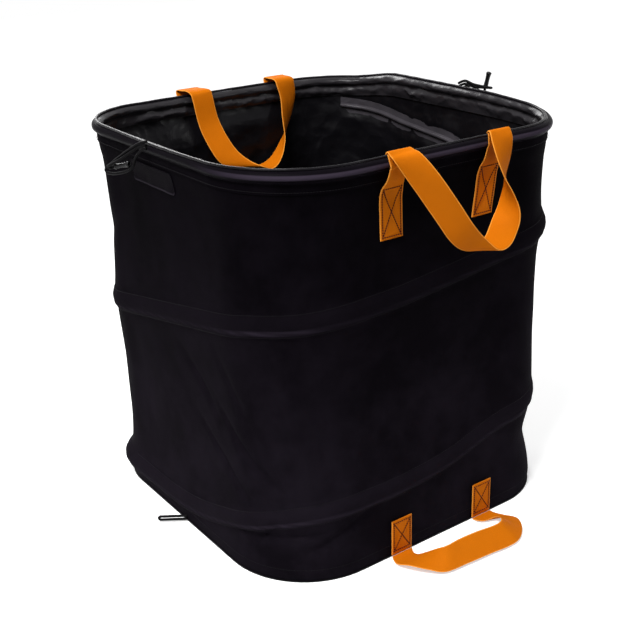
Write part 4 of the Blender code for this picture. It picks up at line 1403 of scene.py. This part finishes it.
# Routes of the toggles' cords: shares of the reach away from the roots, up, and out from the wall
TOGGLES = {
    "left": {
        "turn": 0.75,
        "loop": (
            (0.09, 0.055, 0),
            (0.17, 0.022, 0),
            (0.325, -0.066, 0),
            (0.486, -0.17, 0),
            (0.625, -0.262, 0),
            (0.745, -0.345, 0),
            (0.858, -0.422, 0),
            (0.903, -0.482, 0),
            (0.862, -0.528, 0),
            (0.742, -0.533, 0),
            (0.633, -0.515, 0),
            (0.5, -0.48, 0),
            (0.38, -0.425, 0),
            (0.298, -0.352, 0),
            (0.266, -0.275, 0),
            (0.215, -0.19, 0),
            (0.145, -0.115, 0),
            (0.08, -0.065, 0),
        ),
        "lead": (
            (0.09, -0.004, 0),
            (0.17, -0.036, 0),
            (0.3, -0.112, 0.015),
            (0.45, -0.208, 0.035),
            (0.57, -0.283, 0.055),
            (0.66, -0.325, 0.062),
            (0.73, -0.362, 0.06),
            (0.783, -0.394, 0.05),
            (0.796, -0.424, 0.036),
            (0.772, -0.436, 0.008),
        ),
        "barrel": (
            (0.684, -0.409, 0),
            (0.377, -0.333, 0),
        ),
    },
    "right": {
        "turn": 0.25,
        "loop": (
            (0.06, 0.14, -0.02),
            (0.15, 0.187, -0.022),
            (0.29, 0.185, -0.035),
            (0.43, 0.188, -0.072),
            (0.55, 0.175, -0.083),
            (0.64, 0.16, -0.055),
            (0.668, 0.147, 0),
            (0.64, 0.134, 0.055),
            (0.55, 0.128, 0.083),
            (0.43, 0.128, 0.075),
            (0.29, 0.128, 0.045),
            (0.15, 0.08, 0.03),
            (0.06, 0.006, 0.015),
        ),
        "lead": (
            (0.06, 0.078, -0.01),
            (0.15, 0.128, -0.012),
            (0.29, 0.13, -0.006),
            (0.39, 0.098, 0),
            (0.45, 0.062, 0),
            (0.502, 0.046, 0),
        ),
        "barrel": (
            (0.545, 0.14, 0),
            (0.614, 0.445, 0),
        ),
    },
}


def cord_piece(name, points):
    """Round elastic cord along points, and its length."""
    curve = poly_curve(name, [points])
    curve.bevel_depth = CORD_RADIUS
    curve.bevel_resolution = 3
    curve.use_fill_caps = True
    curve.materials.append(material("elastic cord"))
    return link(name, curve), sum((b - a).length for a, b in zip(points, points[1:]))


def barrel_piece(name, start, end):
    """A toggle: a moulded tube with lipped ends and a shallow waist."""
    axis = (end - start).normalized()
    across = axis.cross(UP).normalized()
    up = across.cross(axis)
    middle, half = start.lerp(end, 0.5), TOGGLE_LENGTH / 2
    bore, radius = CORD_RADIUS + LAYER_GAP, TOGGLE_RADIUS
    mouth = ((0.0025, 0), (0.0004, 0), (0, 0.0004))
    lip = ((0, 0.0012), (0.0004, 0.0004), (0.0012, 0), (0.0032, 0), (0.0038, 0.0004), (0.0060, 0.0006))
    waist = ((0.0100, 0.0008), (half - 0.0005, 0.0009))
    profile = [(along - half, bore + out) for along, out in mouth]
    profile += [(along - half, radius - down) for along, down in lip + waist]
    profile += [(-along, size) for along, size in reversed(profile)]
    loops = []
    for step in range(40):
        angle = tau * step / 40
        spoke = across * cos(angle) + up * sin(angle)
        loops.append([middle + axis * along + spoke * size for along, size in profile])
    return sweep(name, loops, True, [material("toggle plastic")])


def toggle_roots(outward, forward):
    """Where a toggle's strands leave the rim's roll, highest first."""
    grip = RIM_ROLL_RADIUS + LAYER_GAP + CORD_RADIUS
    side = outward * (WALL_HALF + RIM_ROLL_OUT) + forward * TOGGLE_ASIDE + UP * RIM_ROLL_HEIGHT
    roots = [side + outward * grip * cos(angle) + UP * grip * sin(angle) for angle in ROOT_ANGLES]
    return side + outward * grip, roots


def make_toggles():
    """The toggle at each side of the rim, with its cord loop and lead."""
    for side, facts in TOGGLES.items():
        outward, forward = face_axes(facts["turn"])
        away = outward * sin(TOGGLE_TURN) + forward * cos(TOGGLE_TURN)
        aside = outward * cos(TOGGLE_TURN) - forward * sin(TOGGLE_TURN)
        middle, roots = toggle_roots(outward, forward)
        lift = hoop_lift(facts["turn"], RIM_ROLL_HEIGHT)
        roots = [root + UP * lift for root in roots]
        routes = {}
        for key in ("loop", "lead", "barrel"):
            routes[key] = []
            for a, b, c in facts[key]:
                reached = (away * a + UP * b + aside * c) * TOGGLE_REACH
                routes[key].append(middle + reached + UP * lift * max(1 - a / LIFT_REACH, 0))
        loop, lead, ends = routes.values()
        axis = (ends[1] - ends[0]).normalized() * TOGGLE_LENGTH
        threaded = [ends[0].lerp(ends[1], 0.5) + axis * share for share in THREADED_SHARES]
        bar = barrel_piece(f"{side}_toggle_bar", *ends)
        dress(bar, f"{side}_toggle", [f"{side}_toggle_barrel"])
        for part, route in (("loop", [roots[0], *loop, roots[2]]), ("lead", [roots[1], *lead, *threaded])):
            points = [Vector(row) for row in smooth([tuple(point) for point in route], 6)]
            tube, length = cord_piece(f"{side}_elastic_{part}", points)
            dress(tube, f"{side}_toggle", [f"{side}_toggle_{part}"])


def make_base_loops():
    """The elastic loops at the foot of both sides that take the toggles."""
    half_width, length, foot, lean = 0.0028, 0.043, 0.002, radians(35)
    for side, turn in (("left", 0.75), ("right", 0.25)):
        outward, forward = face_axes(turn)
        away = outward * cos(lean) + forward * sin(lean)
        middle = foot + CORD_RADIUS + half_width
        root = outward * (WALL_HALF + LAYER_GAP + CORD_RADIUS * sin(lean)) + UP * middle
        bend = arc(length - half_width, 0, half_width, pi / 2, -pi / 2, 16)
        points = [root + away * along + UP * up for along, up in [(0, half_width), *bend, (0, -half_width)]]
        tube, whole = cord_piece(f"{side}_fold_loop", points)
        dress(tube, f"{side}_base_loop", [f"{side}_base_loop"])


# Seams of the fabric


def cloth_seam(name, lines):
    """Stitches of the fabric's fine thread."""
    pitch = bpy.context.scene.leaf_cloth.stitch_pitch
    return seam(name, lines, "black thread", pitch, pitch * 0.8, THREAD_THICKNESS)


def make_seams():
    """The stitches of the rim's skirt, the band over the spiral and the base hem."""
    turns = even_turns(SEAM_STEP)
    turns.append(turns[0] + 1)
    skirt_rows = ((0.0022, 0.0035), (0.0019, 0.0185))
    rim_lines = [[off_wall(turn, out, SKIRT_FOOT + rise) for turn in turns] for out, rise in skirt_rows]
    dress(cloth_seam("rim_stitches", rim_lines), "rim")
    rise_off, foot_row = 0.0001, 0.020
    to_edge = BAND_HALF - 0.0008
    wall_lines = []
    for rise in (-BAND_DROP - to_edge, -BAND_DROP + to_edge):
        course = spiral_turns(SEAM_STEP)
        wall_lines.append([wall_point(turn, spiral_height(turn) + rise, rise_off) for turn in course])
    wall_lines.append([wall_point(turn, foot_row, rise_off) for turn in turns])
    wall_threads = cloth_seam("wall_stitches", wall_lines)
    dress(wall_threads, "base")
    crumple(wall_threads)


def finish_springs():
    """Give the hidden wires and ferrules their steel."""
    for name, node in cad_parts.items():
        if name.endswith(("_wire", "_ferrule")):
            node.data.materials.clear()
            node.data.materials.append(material("spring steel"))
    crumple(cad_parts["spiral_wire"])


# Stage

CAMERA_PLACE = (-0.916, -1.273, 0.920)
CAMERA_HEADING = 0.6229
CAMERA_DOWN = 0.3955
CAMERA_ROLL = 0.0283
CAMERA_LENS = 58.9
FLOOR_DROP = 0.0004


def area_light(name, place, aim, size, power):
    """A soft square lamp aimed at a point."""
    data = bpy.data.lights.new(name, "AREA")
    data.energy, data.size = power, size
    lamp = link(name, data)
    lamp.location = place
    lamp.rotation_euler = (Vector(aim) - Vector(place)).to_track_quat("-Z", "Y").to_euler()


def make_floor(stage):
    """A paper floor that keeps the bag's shadow and glows to the eye."""
    mesh = bpy.data.meshes.new("studio_floor")
    half = stage.floor_size / 2
    corners = [(-half, -half, 0), (half, -half, 0), (half, half, 0), (-half, half, 0)]
    mesh.from_pydata(corners, [], [(0, 1, 2, 3)])
    floor = link("studio_floor", mesh)
    floor.location.z = -FLOOR_DROP
    made, tree, shader = base_material("studio paper", 0.9, specular_ior_level=0.1)
    grain = put(tree, "ShaderNodeTexNoise", {"Scale": 30.0, "Detail": 3.0})
    paper = mixed(tree, grain.outputs[0], tint(stage.floor_colour, 0.985), tint(stage.floor_colour, 1.0))
    rays = put(tree, "ShaderNodeLightPath").outputs
    seen = math(tree, "MAXIMUM", rays["Is Camera Ray"], rays["Is Glossy Ray"])
    shader.inputs["Emission Color"].default_value = (1, 1, 1, 1)
    place = put(tree, "ShaderNodeTexCoord").outputs["Object"]
    away = put(tree, "ShaderNodeVectorMath", {0: place}, operation="LENGTH").outputs["Value"]
    far = remap(tree, away, 0.6, 1.7, 0, 1)
    tree.links.new(mixed(tree, far, paper, tint(stage.floor_colour, 0.3)), shader.inputs["Base Color"])
    glow = remap(tree, away, 0.6, 2.0, 0.52, 1.0)
    tree.links.new(math(tree, "MULTIPLY", seen, glow), shader.inputs["Emission Strength"])
    mesh.materials.append(made)


def set_sky(stage):
    """Even light all round, white to the eye, in gloss and behind anything clear."""
    world = bpy.data.worlds.new("studio")
    bpy.context.scene.world = world
    world.use_nodes = True
    tree = world.node_tree
    rays = put(tree, "ShaderNodeLightPath").outputs
    seen = math(tree, "MAXIMUM", rays["Is Camera Ray"], rays["Is Transmission Ray"])
    seen = math(tree, "MAXIMUM", seen, rays["Is Glossy Ray"])
    background = tree.nodes["Background"].inputs
    tree.links.new(remap(tree, seen, 0, 1, stage.sky_strength, 1.0), background["Strength"])
    background["Color"].default_value = (1, 1, 1, 1)


def set_camera():
    """The camera that took the photograph."""
    data = bpy.data.cameras.new("photo_camera")
    data.sensor_width, data.lens = 36.0, CAMERA_LENS
    data.clip_start, data.clip_end = 0.05, 60
    camera = link("photo_camera", data)
    spin = Matrix.Rotation(-CAMERA_HEADING, 4, "Z") @ Matrix.Rotation(pi / 2 - CAMERA_DOWN, 4, "X")
    roll = Matrix.Rotation(-CAMERA_ROLL, 4, "Z")
    camera.matrix_world = Matrix.Translation(CAMERA_PLACE) @ spin @ roll
    bpy.context.scene.camera = camera
    bpy.context.scene.view_settings.view_transform = "Standard"


def set_stage():
    """The floor, sky, lamps and camera."""
    stage = bpy.context.scene.leaf_stage
    make_floor(stage)
    set_sky(stage)
    area_light("key_light", (-1.4, -0.65, 2.85), (0, 0, 0.3), 1.0, stage.key_power)
    area_light("side_light", (1.9, -2.3, 1.0), (0, 0, 0.5), 0.22, stage.key_power * 0.08)
    area_light("back_light", (0.5, 2.2, 1.8), (0, 0, 0.5), 1.2, stage.key_power * 0.4)
    set_camera()


# Settings, operators and panel


class LeafClothSettings(bpy.types.PropertyGroup):
    """Sizes and colours of the bag's fabric."""

    outer_colour: FloatVectorProperty(
        name="Outer colour",
        description="Colour of the outer fabric",
        subtype="COLOR",
        default=(0.0046, 0.0036, 0.0054),
        min=0,
        max=1,
    )
    lining_colour: FloatVectorProperty(
        name="Lining colour",
        description="Colour of the coated inner face",
        subtype="COLOR",
        default=(0.0050, 0.0046, 0.0058),
        min=0,
        max=1,
    )
    # The facing's colour holds a painted sheen: the lining's cloth, lighter as lit from above.
    facing_sheen_colour: FloatVectorProperty(
        name="Facing colour",
        description="Colour of the facing inside the rim",
        subtype="COLOR",
        default=(0.021, 0.019, 0.022),
        min=0,
        max=1,
    )
    thread_colour: FloatVectorProperty(
        name="Thread colour",
        description="Colour of the fabric's thread",
        subtype="COLOR",
        default=(0.0035, 0.003, 0.004),
        min=0,
        max=1,
    )
    cloth_step: FloatProperty(
        name="Cloth step",
        description="Size of the wall mesh's cells",
        default=0.006,
        unit="LENGTH",
    )
    cloth_thickness: FloatProperty(
        name="Cloth thickness",
        description="Thickness of the wall",
        default=0.0014,
        unit="LENGTH",
    )
    hollow: FloatProperty(
        name="Hollow",
        description="How far the wall pulls in between its wires",
        default=0.009,
        unit="LENGTH",
    )
    fold: FloatProperty(
        name="Soft folds",
        description="Height of the wall's soft folds",
        default=0.004,
        unit="LENGTH",
    )
    lining_crinkle: FloatProperty(
        name="Lining crinkle",
        description="Height of the lining's crinkles",
        default=0.0035,
        unit="LENGTH",
    )
    facing_crinkle: FloatProperty(
        name="Facing crinkle",
        description="Height of the rim facing's crinkles",
        default=0.0065,
        unit="LENGTH",
    )
    stitch_pitch: FloatProperty(
        name="Stitch pitch",
        description="Distance between the fabric's stitches",
        default=0.0040,
        unit="LENGTH",
    )


class LeafStrapSettings(bpy.types.PropertyGroup):
    """Colours and stitches of the webbing."""

    colour: FloatVectorProperty(
        name="Webbing colour",
        description="Colour of the webbing",
        subtype="COLOR",
        default=(0.67, 0.168, 0.0030),
        min=0,
        max=1,
    )
    thread_colour: FloatVectorProperty(
        name="Thread colour",
        description="Colour of the webbing's thread",
        subtype="COLOR",
        default=(0.060, 0.003, 0.002),
        min=0,
        max=1,
    )
    stitch_pitch: FloatProperty(
        name="Stitch pitch",
        description="Distance between the webbing's stitches",
        default=0.0034,
        unit="LENGTH",
    )


class LeafFittingSettings(bpy.types.PropertyGroup):
    """Colours of the springs, cords and toggles."""

    steel_colour: FloatVectorProperty(
        name="Steel colour",
        description="Colour of the spring wire",
        subtype="COLOR",
        default=(0.42, 0.42, 0.44),
        min=0,
        max=1,
    )
    cord_colour: FloatVectorProperty(
        name="Cord colour",
        description="Colour of the elastic cord",
        subtype="COLOR",
        default=(0.004, 0.0037, 0.0043),
        min=0,
        max=1,
    )
    toggle_colour: FloatVectorProperty(
        name="Toggle colour",
        description="Colour of the toggles",
        subtype="COLOR",
        default=(0.005, 0.005, 0.0055),
        min=0,
        max=1,
    )


class LeafStageSettings(bpy.types.PropertyGroup):
    """Floor, light and surroundings."""

    floor_colour: FloatVectorProperty(
        name="Floor colour",
        description="Colour of the floor",
        subtype="COLOR",
        default=(0.88, 0.88, 0.88),
        min=0,
        max=1,
    )
    floor_size: FloatProperty(
        name="Floor size",
        description="Side of the floor",
        default=14.0,
        unit="LENGTH",
    )
    sky_strength: FloatProperty(
        name="Sky strength",
        description="Strength of the even light all round",
        default=0.24,
    )
    key_power: FloatProperty(
        name="Key power",
        description="Power of the main lamp",
        default=105.0,
        unit="POWER",
    )


class LEAF_BAG_OT_wall(bpy.types.Operator):
    """Make the fabric wall with its folds"""

    bl_idname = "leaf_bag.wall"
    bl_label = "Wall"

    def execute(self, context):
        make_wall()
        return {"FINISHED"}


class LEAF_BAG_OT_rim(bpy.types.Operator):
    """Make the rim's rolled hem and its piping"""

    bl_idname = "leaf_bag.rim"
    bl_label = "Rim"

    def execute(self, context):
        make_rim_hem()
        make_piping()
        return {"FINISHED"}


class LEAF_BAG_OT_base(bpy.types.Operator):
    """Make the base hem and the floor panel"""

    bl_idname = "leaf_bag.base"
    bl_label = "Base"

    def execute(self, context):
        make_base_hem()
        make_base_panel()
        return {"FINISHED"}


class LEAF_BAG_OT_spiral_strip(bpy.types.Operator):
    """Make the strip over the spiral wire"""

    bl_idname = "leaf_bag.spiral_strip"
    bl_label = "Spiral strip"

    def execute(self, context):
        make_spiral_strip()
        return {"FINISHED"}


class LEAF_BAG_OT_label(bpy.types.Operator):
    """Make the blank label"""

    bl_idname = "leaf_bag.label"
    bl_label = "Label"

    def execute(self, context):
        make_label()
        return {"FINISHED"}


class LEAF_BAG_OT_carry_handles(bpy.types.Operator):
    """Make both webbing carry handles"""

    bl_idname = "leaf_bag.carry_handles"
    bl_label = "Carry handles"

    def execute(self, context):
        make_carry_handles()
        return {"FINISHED"}


class LEAF_BAG_OT_tip_handle(bpy.types.Operator):
    """Make the webbing tipping handle"""

    bl_idname = "leaf_bag.tip_handle"
    bl_label = "Tipping handle"

    def execute(self, context):
        make_tip_handle()
        return {"FINISHED"}


class LEAF_BAG_OT_toggles(bpy.types.Operator):
    """Make the toggles on their elastic cords"""

    bl_idname = "leaf_bag.toggles"
    bl_label = "Toggles"

    def execute(self, context):
        make_toggles()
        return {"FINISHED"}


class LEAF_BAG_OT_base_loops(bpy.types.Operator):
    """Make the elastic loops at the base"""

    bl_idname = "leaf_bag.base_loops"
    bl_label = "Base loops"

    def execute(self, context):
        make_base_loops()
        return {"FINISHED"}


class LEAF_BAG_OT_seams(bpy.types.Operator):
    """Lay the stitches of the fabric's seams"""

    bl_idname = "leaf_bag.seams"
    bl_label = "Seams"

    def execute(self, context):
        make_seams()
        return {"FINISHED"}


class LEAF_BAG_OT_springs(bpy.types.Operator):
    """Give the wires and ferrules their steel"""

    bl_idname = "leaf_bag.springs"
    bl_label = "Springs"

    def execute(self, context):
        finish_springs()
        return {"FINISHED"}


class LEAF_BAG_OT_stage(bpy.types.Operator):
    """Set the floor, lamps, world and camera"""

    bl_idname = "leaf_bag.stage"
    bl_label = "Stage"

    def execute(self, context):
        set_stage()
        return {"FINISHED"}


OPERATORS = (
    LEAF_BAG_OT_wall,
    LEAF_BAG_OT_rim,
    LEAF_BAG_OT_base,
    LEAF_BAG_OT_spiral_strip,
    LEAF_BAG_OT_label,
    LEAF_BAG_OT_carry_handles,
    LEAF_BAG_OT_tip_handle,
    LEAF_BAG_OT_toggles,
    LEAF_BAG_OT_base_loops,
    LEAF_BAG_OT_seams,
    LEAF_BAG_OT_springs,
    LEAF_BAG_OT_stage,
)


class LEAF_BAG_PT_panel(bpy.types.Panel):
    """Lists the pieces of the bag."""

    bl_label = "Leaf Bag"
    bl_idname = "LEAF_BAG_PT_panel"
    bl_space_type = "VIEW_3D"
    bl_region_type = "UI"
    bl_category = "Leaf Bag"

    def draw(self, context):
        for made in OPERATORS:
            self.layout.operator(made.bl_idname)


SETTINGS = {
    "leaf_cloth": LeafClothSettings,
    "leaf_straps": LeafStrapSettings,
    "leaf_fittings": LeafFittingSettings,
    "leaf_stage": LeafStageSettings,
}


def register():
    """Make the settings, operators and panel known to Blender."""
    for made in (*SETTINGS.values(), *OPERATORS, LEAF_BAG_PT_panel):
        bpy.utils.register_class(made)
    for name, settings in SETTINGS.items():
        setattr(bpy.types.Scene, name, PointerProperty(type=settings))


def unregister():
    """Take them away again."""
    for name in SETTINGS:
        delattr(bpy.types.Scene, name)
    for made in reversed((*SETTINGS.values(), *OPERATORS, LEAF_BAG_PT_panel)):
        bpy.utils.unregister_class(made)


def main():
    """Make every piece through its operator."""
    register()
    bpy.ops.leaf_bag.wall()
    bpy.ops.leaf_bag.rim()
    bpy.ops.leaf_bag.base()
    bpy.ops.leaf_bag.spiral_strip()
    bpy.ops.leaf_bag.label()
    bpy.ops.leaf_bag.carry_handles()
    bpy.ops.leaf_bag.tip_handle()
    bpy.ops.leaf_bag.toggles()
    bpy.ops.leaf_bag.base_loops()
    bpy.ops.leaf_bag.seams()
    bpy.ops.leaf_bag.springs()
    bpy.ops.leaf_bag.stage()


if __name__ == "__main__":
    main()
